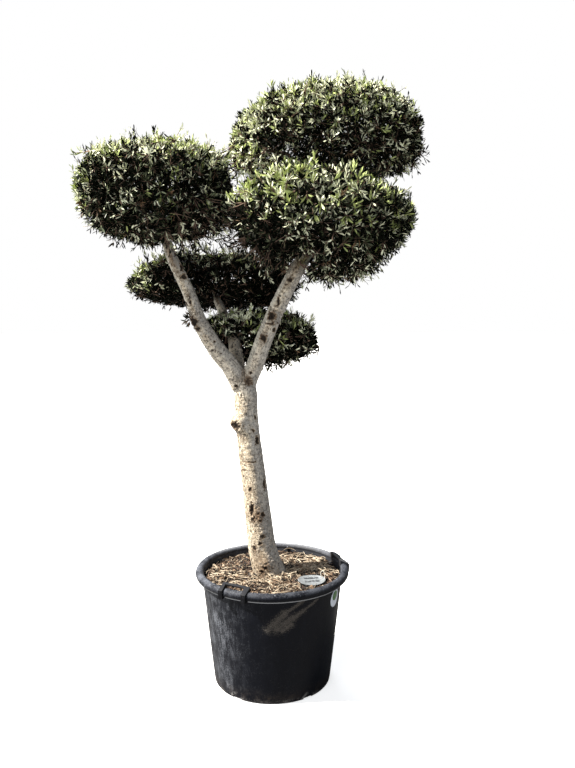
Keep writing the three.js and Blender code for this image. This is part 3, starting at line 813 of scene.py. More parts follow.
def makeBed():
    edge = wallRadius(soilTop + 12) - pot["wall"] - 1
    shares, turns = np.linspace(0, 1, mulch["rings"] + 1)[1:], turnsRound(mulch["sides"])
    x = (edge * shares[:, None] * np.cos(turns)).ravel()
    y = (edge * shares[:, None] * np.sin(turns)).ravel()
    flat = np.stack([x, y, np.zeros_like(x)], -1)
    z = mulchHeight(x, y) + bumps(flat, 30, 1) * mulch["rough"] + bumps(flat, 9, 2) * mulch["rough"] * 0.6
    low = soilTop + touchGap
    skirt = np.stack([edge * np.cos(turns), edge * np.sin(turns), np.full_like(turns, low)], -1)
    points = np.concatenate([np.stack([x, y, np.maximum(z - mulch["bedBelow"], low + 1)], -1), skirt])
    # the bed under the loose pieces is near black: dark mulch, painted darker as the shade in the gaps
    dust = litterFinish("mulchDust", (0.003, 0.002, 0.0015), (0.022, 0.014, 0.009), 9)
    bed = shown("mulch_bed", meshOf("mulchBed", points, ringFaces(mulch["rings"] + 1, mulch["sides"])), dust)
    with editing(bed.data) as work:
        bmesh.ops.remove_doubles(work, verts=work.verts, dist=0.00005)
        bmesh.ops.recalc_face_normals(work, faces=work.faces)
    settle(bed, "mulch", "mulch")


def dealLitter():
    rng = np.random.default_rng(mulch["seed"])
    straws, chips, curls = (litter[key]["count"] for key in ("straw", "chip", "curl"))
    count = straws + chips + curls
    isCurl = np.arange(count) >= straws + chips
    isChip = (np.arange(count) >= straws) & ~isCurl

    def byKind(chip, straw, curl):
        return np.where(isCurl, curl, np.where(isChip, chip, straw))

    spots = litterSpots(count * 3, rng)
    homes = rng.integers(0, len(curlSpots), curls)
    middles, spreads = (np.array([curlSpots[i][k] for i in homes]) for k in (0, 1))
    wanted = middles + rng.normal(0, 1, (curls, 2)) * spreads[:, None]
    aside = spots[np.hypot(*(spots - tag["centre"][:2]).T) > tag["long"] * mulch["curlsFromTag"]]
    spots = np.concatenate([spots[:straws + chips], aside[nearest(wanted, aside)]])
    lift = rng.uniform(*mulch["lift"], count) + mulch["curlLift"] * isCurl
    yaw, pitch = rng.uniform(0, 2 * pi, count), rng.normal(0, mulch["pitch"], count)
    aim = np.stack([np.cos(yaw) * np.cos(pitch), np.sin(yaw) * np.cos(pitch), np.sin(pitch)], -1)
    face = unit(np.array([0, 0, 1]) + rng.normal(0, mulch["roll"], (count, 3)))
    straw, chip, curl = litter["straw"], litter["chip"], litter["curl"]
    length = byKind(rng.uniform(*chip["long"], count), rng.gamma(*straw["gamma"], count).clip(*straw["long"]),
                    rng.uniform(*curl["long"], count))
    width = byKind(length * rng.uniform(*chip["wide"], count), rng.uniform(*straw["wide"], count),
                   rng.uniform(*curl["wide"], count))
    thick = byKind(rng.uniform(*chip["thick"], count), width * straw["thick"], width * curl["thick"])
    at = np.stack([*spots.T, mulchHeight(*spots.T) + lift], -1) - aim * length[:, None] * 0.5
    reach = wallRadius(soilTop + 15) - pot["wall"] - 2
    for end in (at, at + aim * length[:, None]):  # nothing pokes through the wall
        over = np.maximum(0, np.hypot(end[:, 0], end[:, 1]) - reach + mulch["curlGap"] * isCurl)
        at -= unit(end * (1, 1, 0)) * over[:, None]
    at[:, 2] = np.maximum(at[:, 2], soilTop + 4)
    # dark pieces gather in clumps: dark bark, laid as painted shade for the gaps
    clumps = bumps(np.stack([*spots.T, np.zeros(count)], -1), mulch["clump"], 3)
    shade = rng.random(count) - mulch["clumped"] * clumps
    tone = byKind(*(np.digitize(shade, spec["tones"]) for spec in (chip, straw, curl)))
    bent = len(strawShapes)
    kind = byKind(bent + rng.integers(0, len(chipSeeds), count), rng.integers(0, bent, count),
                  bent + len(chipSeeds) + rng.integers(0, len(curlShapes), count))
    # the gap along the rim in front of the tag is left bare, so the near-black bed shows there as painted
    # shadow under the tag
    turns = np.abs(np.degrees(np.arctan2(*spots.T[::-1])) - mulch["bareToward"])
    bare = (np.hypot(*spots.T) > mulch["bareFrom"]) & (turns < mulch["bareHalf"])
    size = np.stack([length, width, thick], -1)
    dealt = {"at": at, "aim": aim, "face": face, "size": size, "kind": kind, "tone": tone}
    return {key: rows[~bare] for key, rows in dealt.items()}


def makeMulch():
    makeBed()
    meshes = [strawMesh(spec) for spec in strawShapes] + [chipMesh(seed) for seed in chipSeeds]
    shapes = shapeSet("litter", meshes + [strawMesh(spec, curlSteps) for spec in curlShapes])
    tones = [litterFinish(*tone) for tone in litterTones]
    bits = dealtPiece("mulch_bits", dealTree("litterDeal", len(tones)), shapes, tones, dealLitter())
    dropShapes(shapes)
    settle(bits, "mulch")


# Tag: an oval card with plain bars, and its wire loop

def tagFinish():
    card = Finish("tagCard", (0.6, 0.62, 0.62), 0.42)
    centred = card.mapped(card.place(), location=[-c * mm for c in tag["centre"]])
    flat = card.mapped(centred, rotation=(0, 0, -radians(tag["turn"])))
    x, y = card.axes(flat)[:2]
    bars = y.maths("PINGPONG", 0.013).above(0.005, 0.007)
    inside = x.maths("ABSOLUTE").below(0.026, 0.031) * y.maths("ABSOLUTE").below(0.019, 0.024)
    worn = card.cloud(flat, 11, 4, 0.7, 0.5)
    ink, dirt = bars * inside * worn.above(0.36, 0.5), worn.above(0.5, 0.78)
    card.paint((0.19, 0.205, 0.215), (dirt * 0.7, (0.045, 0.045, 0.045)), (ink * 0.95, (0.008, 0.009, 0.011)))
    card.rough(0.32 + dirt * 0.35)
    card.relief(worn, 0.5)
    return card


def makeTag():
    half, across = tag["long"] / 2, tag["wide"] / 2
    points = []
    for share, level in tag["rows"]:
        for angle in turnsRound(tag["spokes"]):
            x, y = share * half * cos(angle), share * across * sin(angle)
            curl = tag["curl"][0] * (x / half) ** 2 - tag["curl"][1] * (y / across) ** 2
            points.append((x, y, level * tag["thick"] / 2 + curl))
    tilt, turn = radians(tag["tilt"]), radians(tag["turn"])
    x, y, z = np.array(points).T
    y, z = y * cos(tilt) - z * sin(tilt), y * sin(tilt) + z * cos(tilt)
    x, y = x * cos(turn) - y * sin(turn), x * sin(turn) + y * cos(turn)
    points = np.stack([x, y, z], -1) + tag["centre"]
    mesh = meshOf("tagCard", points, ringFaces(len(tag["rows"]), tag["spokes"]))
    card = shown("tag_card", mesh, tagFinish())
    card.data.set_sharp_from_angle(angle=radians(tag["sharp"]))
    settle(card, "tag_plastic", "plant_tag")

    path = smoothLine([(*point, tag["tieRadius"]) for point in tag["tie"]], tag["tieSteps"])
    wire = Finish("tieWire", (0.5, 0.48, 0.43), 0.5)
    wire.paint((0.35, 0.33, 0.29), (wire.cloud(wire.place(), 6).above(0.4, 0.6), (0.62, 0.6, 0.54)))
    paths = [(path[None, :, :3], path[None, :, 3])]
    settle(tubePiece("tag_tie", tubeTree(), wire, paths, tag["tieSides"]), "tag_plastic")


# Limbs: each station is x, y, z and radius

limbLines = {
    "trunk": [
        (-6, 10, 380, 62), (-16, 10, 430, 57), (-40, 8, 525, 53.5), (-55, 6, 654, 50), (-69, 4, 781, 47.5),
        (-84, 2, 907, 45), (-96, 0, 1040, 42), (-103, 0, 1135, 43), (-106, 2, 1196, 34),
    ],
    "bough_left": [
        (-104, 2, 1110, 33), (-118, -2, 1170, 33.5), (-151, -10, 1240, 30), (-195, -20, 1296, 27.5),
        (-242, -30, 1366, 26), (-276, -40, 1432, 24.5), (-302, -50, 1508, 23), (-327, -53, 1563, 22),
        (-362, -57, 1638, 20.5), (-382, -60, 1698, 19.5),
    ],
    "bough_right": [
        (-106, 4, 1110, 36), (-92, 0, 1180, 35), (-65, -10, 1240, 32.5), (-34, -30, 1325, 31.5),
        (10, -50, 1433, 30.5), (58, -70, 1533, 28.5), (98, -88, 1608, 27), (116, -96, 1636, 27),
    ],
    "bough_middle": [
        (-112, 20, 1120, 26), (-127, 40, 1200, 27), (-138, 64, 1262, 26.5), (-147, 92, 1316, 24.5),
        (-166, 134, 1374, 20), (-200, 182, 1438, 18), (-226, 216, 1490, 17),
    ],
    "bough_top": [
        (62, -72, 1548, 17), (88, -30, 1592, 18), (118, 40, 1650, 18), (142, 112, 1722, 17),
        (158, 176, 1806, 16), (176, 222, 1888, 15), (190, 244, 1962, 14),
    ],
}
trunkKnots = [  # height, turn, how far out, how tall
    (1026, 212, 26, 27), (590, 290, 5, 34), (470, 300, 6, 30), (1130, 330, 5, 30),
]
knotTight = 3.2  # how closely a knot keeps to its side
rootFlare = {"out": 9, "fade": 45, "lobes": 5, "lobeShare": 0.35}
# Pruning scars, hollows and burls: height, turn, half width, half height, depth (below zero stands out), lip
scars = {
    "trunk": [
        (1018, 224, 20, 16, 9, 3), (690, 247, 9, 21, 13, 2.5), (652, 246, 7, 9, 5, 2),
        (660, 284, 20, 22, -6, 2), (668, 293, 6, 8, 4, 1), (645, 279, 7, 5, 3, 1.5), (674, 275, 5, 5, 3, 1),
        (770, 252, 7, 7, 4, 1),
        (1042, 322, 6, 8, 3, 1), (994, 303, 6, 6, 3, 1), (953, 322, 9, 16, 7, 1.5), (782, 330, 8, 18, 7, 1),
        (937, 265, 10, 4, -2, 1.5), (875, 268, 22, 3, 2, 1), (585, 283, 8, 8, 3, 3), (557, 269, 6, 8, 4, 2),
        (540, 238, 8, 9, 4, 1.5), (449, 250, 10, 8, 7, 3), (462, 266, 9, 8, 5, 2), (478, 271, 12, 8, -3, 2),
        (1168, 228, 7, 7, 4, 2), (1184, 298, 14, 18, 2, 2), (845, 229, 12, 4, 2, 1), (820, 60, 10, 12, 5, 3),
        (610, 120, 12, 9, 5, 3), (930, 130, 8, 8, 4, 2), (520, 30, 9, 14, 4, 2), (1010, 80, 8, 6, 4, 2),
    ],
    "bough_left": [
        (1418, 215, 14, 17, 7, 4), (1394, 226, 8, 7, 4, 2), (1484, 207, 6, 9, 3, 1), (1484, 256, 4, 8, 4, 1),
        (1571, 300, 9, 12, 5, 2), (1600, 330, 8, 18, 3, 1), (1362, 190, 6, 6, 3, 1), (1333, 289, 4, 4, 3, 1),
        (1251, 186, 6, 14, 3, 1), (1301, 190, 5, 9, 3, 1), (1540, 110, 9, 10, 4, 2), (1340, 70, 9, 8, 4, 2),
    ],
    "bough_right": [
        (1432, 257, 13, 15, 8, 3), (1406, 268, 16, 4, 3, 2), (1390, 318, 7, 10, 4, 1),
        (1354, 257, 12, 10, 3, 2), (1346, 275, 6, 7, 3, 1), (1565, 263, 10, 6, 4, 3),
        (1484, 257, 4, 22, 4, 1), (1221, 264, 5, 6, 4, 1), (1500, 80, 9, 9, 4, 2), (1260, 110, 8, 8, 3, 2),
    ],
    "bough_middle": [(1300, 250, 5, 6, 3, 1), (1322, 290, 5, 5, 2, 1), (1382, 240, 7, 7, 3, 2)],
}
# Rough brown places: height, turn, width, how rough
rough = {
    "trunk": [
        (455, 252, 34, 1.0), (425, 238, 26, 1.0), (664, 282, 36, 1.0), (468, 276, 38, 1.0),
        (1020, 214, 20, 0.8), (1182, 298, 22, 0.9), (750, 285, 34, 0.3), (540, 240, 16, 0.7),
        (500, 262, 18, 0.5), (520, 100, 40, 0.7),
    ],
    "bough_left": [(1412, 215, 20, 1.0), (1640, 280, 34, 0.9)],
    "bough_right": [(1432, 257, 17, 0.8), (1354, 257, 20, 0.9), (1620, 250, 30, 0.7)],
    "bough_middle": [(1350, 285, 20, 1.0), (1240, 285, 22, 0.9)],
}
rings = [  # grooves right round a limb: which, height, how deep, how tall
    ("bough_middle", 1282, 3.0, 4), ("bough_right", 1455, 1.6, 5), ("bough_left", 1590, 1.5, 5),
    ("trunk", 905, 0.8, 5),
]
barkRelief = {
    "voxel": 3.2, "broad": 1.6, "broadSize": 70, "knobbly": 0.9, "knobblySize": 16, "fine": 0.55,
    "fineSize": 6, "crust": 2.4, "crustSize": 7, "flutes": 4, "flute": 1.4, "blend": 14, "blendRounds": 22,
    "leftSwell": 12.0, "leftSwellAt": 1265, "leftSwellTall": 150, "scarSpread": 1.15,
    "scarReach": 4, "wander": 2.2, "wanderSize": 160, "fullRadius": 45, "pinch": 12, "pinchAbove": 1180,
}
barkTints = {
    "brown": (0.51, 0.415, 0.3), "straw": (0.79, 0.68, 0.51), "blotch": (0.24, 0.175, 0.12),
    "grey": (0.6, 0.585, 0.55), "forkLight": (0.98, 0.88, 0.73), "dark": (0.09, 0.07, 0.055),
    "light": (0.72, 0.66, 0.55), "wrinkle": (0.1, 0.07, 0.05), "fissure": (0.1, 0.07, 0.05),
    "shadow": (0.1, 0.076, 0.057), "cream": (0.95, 0.87, 0.73), "pore": (0.07, 0.05, 0.037),
    "dot": (0.035, 0.025, 0.02), "rust": (0.2, 0.115, 0.06), "pit": (0.025, 0.016, 0.011),
    "healed": (0.19, 0.115, 0.065), "hollowWoodAndShade": (0.02, 0.014, 0.01), "moss": (0.2, 0.22, 0.04),
    "sunny": (1.0, 0.94, 0.8), "shaded": (0.62, 0.62, 0.61), "young": (0.85, 0.75, 0.6),
}
mossAt = (138, -115, 1640)  # where the right bough enters its ball


def smoothLine(stations, steps):  # a centripetal Catmull-Rom through the stations, radius too
    row = np.array(stations, float)
    row = np.concatenate([[2 * row[0] - row[1]], row, [2 * row[-1] - row[-2]]])
    out = []
    for place in np.linspace(0, len(stations) - 1, steps + 1):
        i = min(int(place), len(stations) - 2)
        t = place - i
        p0, p1, p2, p3 = row[i:i + 4]
        d0, d1, d2 = (sqrt(np.linalg.norm((b - a)[:3])) for a, b in ((p0, p1), (p1, p2), (p2, p3)))
        m1 = ((p1 - p0) / d0 - (p2 - p0) / (d0 + d1) + (p2 - p1) / d1) * d1
        m2 = ((p2 - p1) / d1 - (p3 - p1) / (d1 + d2) + (p3 - p2) / d2) * d1
        cube, square = t**3, t**2
        out.append((2 * cube - 3 * square + 1) * p1 + (cube - 2 * square + t) * m1
                   + (3 * square - 2 * cube) * p2 + (cube - square) * m2)
    return np.array(out)


def framesOf(line):  # tangent, side and back at each station
    along = unit(np.gradient(line[:, :3], axis=0))
    side = unit(np.array([1.0, 0, 0]) - along * along[:, :1])
    return along, side, np.cross(along, side)


def trunkSwell(point, turn):
    above = max(0, point[2] - soilTop)
    lobe = 1 + rootFlare["lobeShare"] * cos(rootFlare["lobes"] * turn)
    out = rootFlare["out"] * exp(-above / rootFlare["fade"]) * lobe
    for z, toward, far, tall in trunkKnots:
        near = ((point[2] - z) / tall) ** 2 + ((1 - cos(turn - radians(toward))) * knotTight) ** 2
        out += far * exp(-near)
    return out


limbs = {name: smoothLine(stations, 40 if name != "trunk" else 60) for name, stations in limbLines.items()}


def limbTube(name, sides=32):
    line = limbs[name]
    points = []
    for station, s, b in zip(line, *framesOf(line)[1:]):
        for angle in turnsRound(sides):
            out = s * cos(angle) + b * sin(angle)
            swell = trunkSwell(station, atan2(out[1], out[0])) if name == "trunk" else 0
            points.append(station[:3] + out * (station[3] + swell))
    return np.array(points), ringFaces(len(line), sides)


def runOf(line):  # how far along the line each station lies
    return np.concatenate([[0], np.cumsum(np.linalg.norm(np.diff(line[:, :3], axis=0), axis=1))])


def stationAt(name, z):
    line = limbs[name]
    return int(np.argmin(np.abs(line[:, 2] - z)))


def surfacePoint(limb, z, turn):  # the place on a limb's skin at a height and a turn round it
    line = limbs[limb]
    along = framesOf(line)[0][stationAt(limb, z)]
    centre = np.array([np.interp(z, line[:, 2], line[:, k]) for k in range(3)])
    turn = radians(turn)
    out = np.array([cos(turn), sin(turn), 0])
    out = unit(out - along * (out @ along))
    swell = trunkSwell(centre, turn) if limb == "trunk" else 0
    return centre + out * (np.interp(z, line[:, 2], line[:, 3]) + swell)


def nearLimbs(points):  # for each point the two least clearances, its limb, and where it lies on that
    gaps, spots = [], []
    for line in limbs.values():
        gap = np.linalg.norm(points[:, None, :] - line[None, :, :3], axis=-1) - line[None, :, 3]
        spots.append(gap.argmin(1))
        gaps.append(gap.min(1))
    order = np.array(gaps).argsort(0)
    first, second = np.take_along_axis(np.array(gaps), order[:2], 0)
    place = np.zeros((len(points), 3))
    for k, line in enumerate(limbs.values()):
        mine = order[0] == k
        along, side, back = framesOf(line)
        spot = spots[k][mine]
        away = points[mine] - line[spot, :3]
        run = runOf(line)[spot] + (away * along[spot]).sum(1) + limbApart * k
        place[mine] = np.stack([(away * side[spot]).sum(1), (away * back[spot]).sum(1), run], -1)
    return first, second, order[0], place


limbApart = 3000  # keeps one limb's run from the next one's


def relaxed(points, edges, share, rounds):
    count = np.bincount(edges.ravel(), minlength=len(points))[:, None]
    for _ in range(rounds):
        total = np.zeros_like(points)
        for a, b in (edges.T, edges.T[::-1]):
            for axis in range(3):
                total[:, axis] += np.bincount(a, points[b, axis], len(points))
        points = points + (total / count - points) * share
    return points


def barkFinish():
    bark = Finish("oliveBark", (0.45, 0.38, 0.29), 0.85, 0.25)
    here = bark.place()
    run = bark.warped(bark.named("barkPlace", out="Vector"), 14, 5)
    scar, crust, fold, young = (bark.named(key) for key in ("scar", "crust", "fold", "young"))
    z = bark.axes(here)[2]
    broad = bark.cloud(bark.mapped(run, scale=(1, 1, 0.5)), 60, 5, 0.65)
    blotch = bark.cloud(bark.mapped(run, scale=(1.2, 1.2, 0.7), location=(3, 1, 0)), 26, 6, 0.7)
    mottle = bark.cloud(run, 8, 5, 0.75)
    wrinkles = bark.lines(bark.mapped(run, scale=(0.5, 0.5, 2.6)), 30, 0.03, 4)
    fissures = bark.lines(bark.mapped(run, scale=(2.4, 2.4, 0.45)), 34, 0.035, 4)
    dots = bark.spots(bark.mapped(run, scale=(1, 1, 0.8)), 12, 0.75, 0.44) * blotch.above(0.38, 0.5)
    pores = bark.spots(bark.mapped(run, scale=(1, 1, 0.7), location=(5, 2, 1)), 7, 0.7, 0.4)
    patchy = broad.above(0.4, 0.6)
    atFork, onBoughs = z.between(1.1, 1.16, 1.27, 1.42), z.above(1.1, 1.25)
    side = bark.facing()[0]  # the sunward side of the boughs is painted paler and the side of each limb away from the sun a light cool grey: painted light and shade
    sound = scar.below(0.15, 0.45)
    masks = {
        "blotch": blotch.above(0.53, 0.61) * 0.6, "grey": blotch.below(0.36, 0.46) * 0.6,
        # the bark at the fork is painted paler: painted light
        "forkLight": atFork * (0.45 + patchy * 0.5), "dark": mottle.below(0.28, 0.46) * 0.8,
        # wrinkles grow darker where the limbs meet: painted shade in the crotch
        "light": mottle.above(0.55, 0.68) * 0.55, "wrinkle": wrinkles * (patchy * 0.5 + fold) * 0.6,
        "fissure": fissures * blotch.above(0.42, 0.55) * 0.65,
        "shadow": mottle.below(0.38, 0.5) * (0.36 + onBoughs * 0.42),
        "cream": mottle.above(0.52, 0.62) * (0.4 + onBoughs * 0.5), "pore": pores * 0.85, "dot": dots * 0.9,
        "rust": crust * mottle.above(0.4, 0.5) * 0.8, "pit": crust * mottle.below(0.4, 0.5) * 0.95,
        "healed": (scar + (mottle - 0.5) * 0.5).above(0.15, 0.5) * 0.6,
        # scar hollows are near black: the dark of old cut wood, with painted shade
        "hollowWoodAndShade": (scar + (mottle - 0.5) * 0.4).above(0.5, 0.85) * 0.92,
        "moss": bark.awayFrom(here, mossAt).below(0.02, 0.06) * mottle.above(0.42, 0.56) * 0.85,
        "sunny": (0 - side).above(0.4, 0.85) * sound * onBoughs * 0.85 * mottle.above(0.3, 0.5),
        "shaded": side.above(-0.1, 0.7) * sound * 0.6 * mottle.above(0.34, 0.48),
        # the middle bough is painted paler: painted light
        "young": young * 0.55 * mottle.above(0.36, 0.5),
    }
    base = bark.mix(broad.above(0.38, 0.62), barkTints["brown"], barkTints["straw"])
    bark.paint(base, *((mask, barkTints[name]) for name, mask in masks.items()))
    bark.rough(0.72 + mottle * 0.2)
    cracks = wrinkles * 0.5 + fissures * 0.6 + dots * 0.9 + pores * 0.6
    bark.relief(blotch * 0.8 + mottle * 1.2 - cracks + crust * mottle * 1.5, 3.6)
    return bark


def joinedLimbs():  # one skin over all the limbs, cut off at the soil
    points, faces, first = [], [], 0
    for name in limbs:
        tube, quads = limbTube(name)
        faces += [tuple(first + i for i in quad) for quad in quads]
        points.append(tube)
        first += len(tube)
    thing = shown("trunk_and_boughs", meshOf("wood", np.concatenate(points), faces))
    with editing(thing.data) as work:
        everything = work.verts[:] + work.edges[:] + work.faces[:]
        plane = {"plane_co": (0, 0, (soilTop + touchGap) * mm), "plane_no": (0, 0, 1)}
        cut = bmesh.ops.bisect_plane(work, geom=everything, **plane, clear_inner=True)["geom_cut"]
        rim = [edge for edge in cut if isinstance(edge, bmesh.types.BMEdge)]
        bmesh.ops.contextual_create(work, geom=rim)
    remesh = thing.modifiers.new("skin", "REMESH")
    remesh.mode = "VOXEL"
    remesh.voxel_size = barkRelief["voxel"] * mm
    return applied(thing)


def markScars(points, ragged):  # how far each point rises, and how scarred and how crusty it is
    height, scarred, crusty = np.zeros((3, len(points)))
    for name, rows in scars.items():
        for z, turn, wide, tall, deep, lip in rows:
            away = np.linalg.norm((points - surfacePoint(name, z, turn)) / (wide, wide, tall), axis=1)
            away = away / barkRelief["scarSpread"]
            near = away < barkRelief["scarReach"]
            far = away[near] * (1 + 0.7 * ragged[near])
            height[near] -= deep * np.exp(-(far**2) * 1.7)
            height[near] += lip * np.exp(-(((far - 1.2) / 0.4) ** 2)) * (1 + 0.8 * ragged[near])
            # deeper hollows are painted darker: painted shade
            shade = min(1, 0.5 + deep / 8) if deep > 0 else 0.3
            scarred[near] = np.maximum(scarred[near], np.exp(-(far**4) * 0.8) * shade)
    for name, rows in rough.items():
        for z, turn, wide, amount in rows:
            away = np.linalg.norm((points - surfacePoint(name, z, turn)) * (1, 1, 0.8), axis=1) / wide
            crusty = np.maximum(crusty, amount * np.exp(-((away * (1 + 0.35 * ragged)) ** 2)))
    return height, scarred, crusty


def makeWood():
    for mass in masses:
        limbs["stem_" + mass["name"]] = stemLine(mass)
    thing = joinedLimbs()
    mesh, spec, names = thing.data, barkRelief, list(limbs)
    points = pointsOf(mesh)
    edges = np.empty(len(mesh.edges) * 2, np.int64)
    mesh.edges.foreach_get("vertices", edges)

    # the limbs flow into one another at the forks
    near, second = nearLimbs(points)[:2]
    fold = np.exp(-(((second - near) / spec["blend"]) ** 2))
    onFoot = np.clip((points[:, 2] - soilTop - 4) / 6, 0, 1)
    share = (0.15 + 0.75 * fold * onFoot) * 0.6 * onFoot
    points = relaxed(points, edges.reshape(-1, 2), share[:, None], spec["blendRounds"])
    movePoints(mesh, points)
    normals = np.array([v.normal[:] for v in mesh.vertices])
    near, second, limb, place = nearLimbs(points)
    apart = second - near
    fold = np.exp(-((apart / spec["blend"]) ** 2))
    turn = np.arctan2(place[:, 1], place[:, 0])
    wander = bumps(place * (0, 0, 1), spec["wanderSize"], 8) * spec["wander"]
    thickness = np.clip(np.hypot(place[:, 0], place[:, 1]) / spec["fullRadius"], 0.3, 1.2)
    height, scarred, crusty = markScars(points, bumps(place, 7, 6))
    pinched = np.exp(-((apart / spec["pinch"]) ** 2)) * (points[:, 2] > spec["pinchAbove"])
    crusty = np.maximum(crusty, 0.7 * pinched)
    height += spec["broad"] * bumps(place * (1, 1, 0.4), spec["broadSize"], 1) * thickness
    onLeft = (limb == names.index("bough_left")) * np.clip(0.4 - 0.8 * normals[:, 0], 0, 1)
    fromSwell = (points[:, 2] - spec["leftSwellAt"]) / spec["leftSwellTall"]
    height += spec["leftSwell"] * onLeft * np.exp(-(fromSwell**2))
    height += spec["flute"] * np.cos(spec["flutes"] * turn + wander) * thickness * 0.8
    height += spec["knobbly"] * bumps(place * (1, 1, 1.4), spec["knobblySize"], 4)
    height += spec["fine"] * bumps(place * (1, 1, 1.8), spec["fineSize"], 5)
    height += spec["crust"] * crusty * bumps(place * (1, 1, 1.3), spec["crustSize"], 9)
    for name, z, deep, tall in rings:
        index = names.index(name)
        start = runOf(limbs[name])[stationAt(name, z)]
        gap = (place[:, 2] - limbApart * index - start + 4 * np.sin(turn + 1)) / tall
        groove = np.exp(-(gap**2)) * (limb == index)
        height -= deep * groove
        height += deep * 0.7 * np.exp(-((np.abs(gap) - 1.8) ** 2)) * (limb == index)
        # the ring grooves are painted darker: painted shade
        scarred = np.maximum(scarred, groove * 0.3)
    movePoints(mesh, points + normals * (height * onFoot)[:, None])
    storeValues(mesh, "barkPlace", place * mm, "FLOAT_VECTOR")
    # the middle bough, away from its forks, is painted paler: painted light
    young = (limb == names.index("bough_middle")) * (1 - fold)
    for name, values in {"scar": scarred, "crust": crusty, "fold": fold, "young": young}.items():
        storeValues(mesh, name, values)
    mesh.materials.clear()
    mesh.materials.append(barkFinish().material)
    mesh.shade_smooth()
    settle(thing, "bark", *limbLines)


# Foliage: the source's balls and its rule, with finer levels

# Each ball, and its light: lit from a height up, a share of dim sprays, fresh growth toward a side
masses = [
    {"name": "left", "seed": 11, "centre": (-430, -50, 1872), "half": (300, 288), "up": 200, "down": 184,
     "square": (2.8, 2.5), "sag": (0.0, 0.0), "shoots": 4800, "litFrom": 0.5, "sunSide": 0.32, "dim": 0.15,
     "limb": "bough_left", "fresh": 0.5, "freshToward": (-0.8, -0.1, 0.6)},
    {"name": "top", "seed": 23, "centre": (216, 280, 2160), "half": (388, 330), "up": 208, "down": 196,
     "square": (2.35, 2.6), "sag": (0.06, 0.0), "shoots": 5700, "litFrom": 0.18,
     "limb": "bough_top", "fresh": 0.5, "freshToward": (-0.6, -0.2, 0.75)},
    {"name": "front", "seed": 37, "centre": (189, -200, 1768), "half": (330, 290), "up": 216, "down": 226,
     "square": (2.5, 2.15), "sag": (0.22, 0.3), "shoots": 5400, "litFrom": 0.42, "sunSide": 2,
     "limb": "bough_right", "fresh": 1.0, "freshToward": (-0.55, -0.3, 0.8)},
    {"name": "low_left", "seed": 41, "centre": (-246, 285, 1556), "half": (362, 262), "up": 150, "down": 112,
     "square": (2.3, 2.2), "sag": (-0.1, 0.35), "shoots": 3900, "litFrom": 0.62, "dim": 0.85,
     "limb": "bough_middle", "fresh": 0.5, "freshToward": (-1.0, -0.1, 0.3)},
    {"name": "low_right", "seed": 59, "centre": (-32, 176, 1336), "half": (232, 190), "up": 116, "down": 116,
     "square": (2.3, 2.2), "sag": (0.0, 0.1), "shoots": 2500, "litFrom": 0.4, "dim": 0.12, "fromSide": True,
     "limb": "bough_middle", "fresh": 0.4, "freshToward": (0.3, -0.3, 0.8)},
]
for mass in masses:
    mass["centre"] = np.array(mass["centre"], float)

# Where sparse shoots stand or hang clear of a ball: toward, how near that way, how far out
skirts = {
    "left": [((0.75, -0.2, -0.65), 0.8, (0, 48))],
    "top": [((-0.6, -0.3, -0.8), 0.9, (0, 20))],
    "front": [((-0.75, 0, -0.6), 0.93, (0, 40)), ((-1, -0.1, 0.15), 0.95, (0, 20))],
    "low_left": [((0.15, -0.3, 0.94), 0.93, (8, 60)), ((-0.55, -0.25, 0.8), 0.93, (0, 34)),
                 ((1, -0.2, -0.3), 0.9, (0, 16))],
    "low_right": [((0.2, 0, -1), 0.93, (0, 14))],
}
skirtShare = 0.35  # of the shoots there
ball = {"lump": 0.018, "heartDrop": 0.25, "leastReach": 0.35}
# How a ball was clipped fuller or closer than its round: the side, how much of its reach, how wide
clipping = {
    "left": [((-0.95, 0, -0.3), -0.1, 0.12), ((-0.8, 0, -0.6), -0.06, 0.06), ((0.8, -0.1, -0.6), 0.07, 0.1),
             ((-0.1, 0, -1), 0.05, 0.05), ((-0.95, 0, 0.35), -0.05, 0.05), ((-0.4, 0, -0.9), 0.03, 0.1),
             ((0.62, 0, 0.8), 0.07, 0.06), ((-0.05, 0, 1), -0.085, 0.12), ((-0.75, 0, 0.65), -0.03, 0.05)],
    "top": [((-0.65, 0, 0.75), -0.145, 0.16), ((0.1, 0, 1), -0.13, 0.17), ((0.85, 0, -0.5), 0.1, 0.08),
            ((-0.7, -0.1, -0.8), 0.2, 0.09), ((-1, 0, 0.1), -0.02, 0.08)],
    "front": [((0.8, 0, 0.6), -0.155, 0.1), ((0.3, 0, 1), -0.45, 0.09), ((-0.62, 0, 0.78), -0.1, 0.05),
              ((0.12, 0, 1), -0.22, 0.045), ((0.35, 0.5, 0.85), -0.2, 0.1), ((0.4, -0.5, 0.8), -0.12, 0.09),
              ((0.8, 0, -0.6), -0.17, 0.12), ((1, 0, 0), 0.06, 0.04)],
    "low_left": [((-0.8, 0, 0.55), -0.07, 0.15), ((-1, 0, 0), 0.05, 0.03), ((-0.5, -0.2, -0.8), -0.14, 0.15),
                 ((0.35, -0.2, -0.9), 0.16, 0.12), ((0.1, 0, 1), -0.18, 0.25), ((1, -0.2, -0.3), -0.06, 0.06),
                 ((-0.3, -0.2, 0.95), -0.04, 0.06)],
    "low_right": [((-0.95, -0.1, 0.25), 0.16, 0.15), ((-0.75, 0, 0.65), 0.12, 0.06),
                  ((0.8, 0, 0.5), -0.08, 0.2), ((-0.1, -0.2, 1), 0.07, 0.15), ((0.7, 0, -0.7), -0.07, 0.1)],
}
ripples = {"high": 0.011, "ways": [(9, 4, 3), (-5, 10, 6), (4, -8, 11), (13, 7, -9), (-12, 9, 14)]}
bareWood = {  # limbs kept clear of the leaves before them: how low, how high, how wide
    "low_right": ("bough_middle", 1100, 1350, 40), "low_left": ("bough_middle", 1370, 1515, 34),
    "front": ("bough_right", 1500, 1640, 38),
}
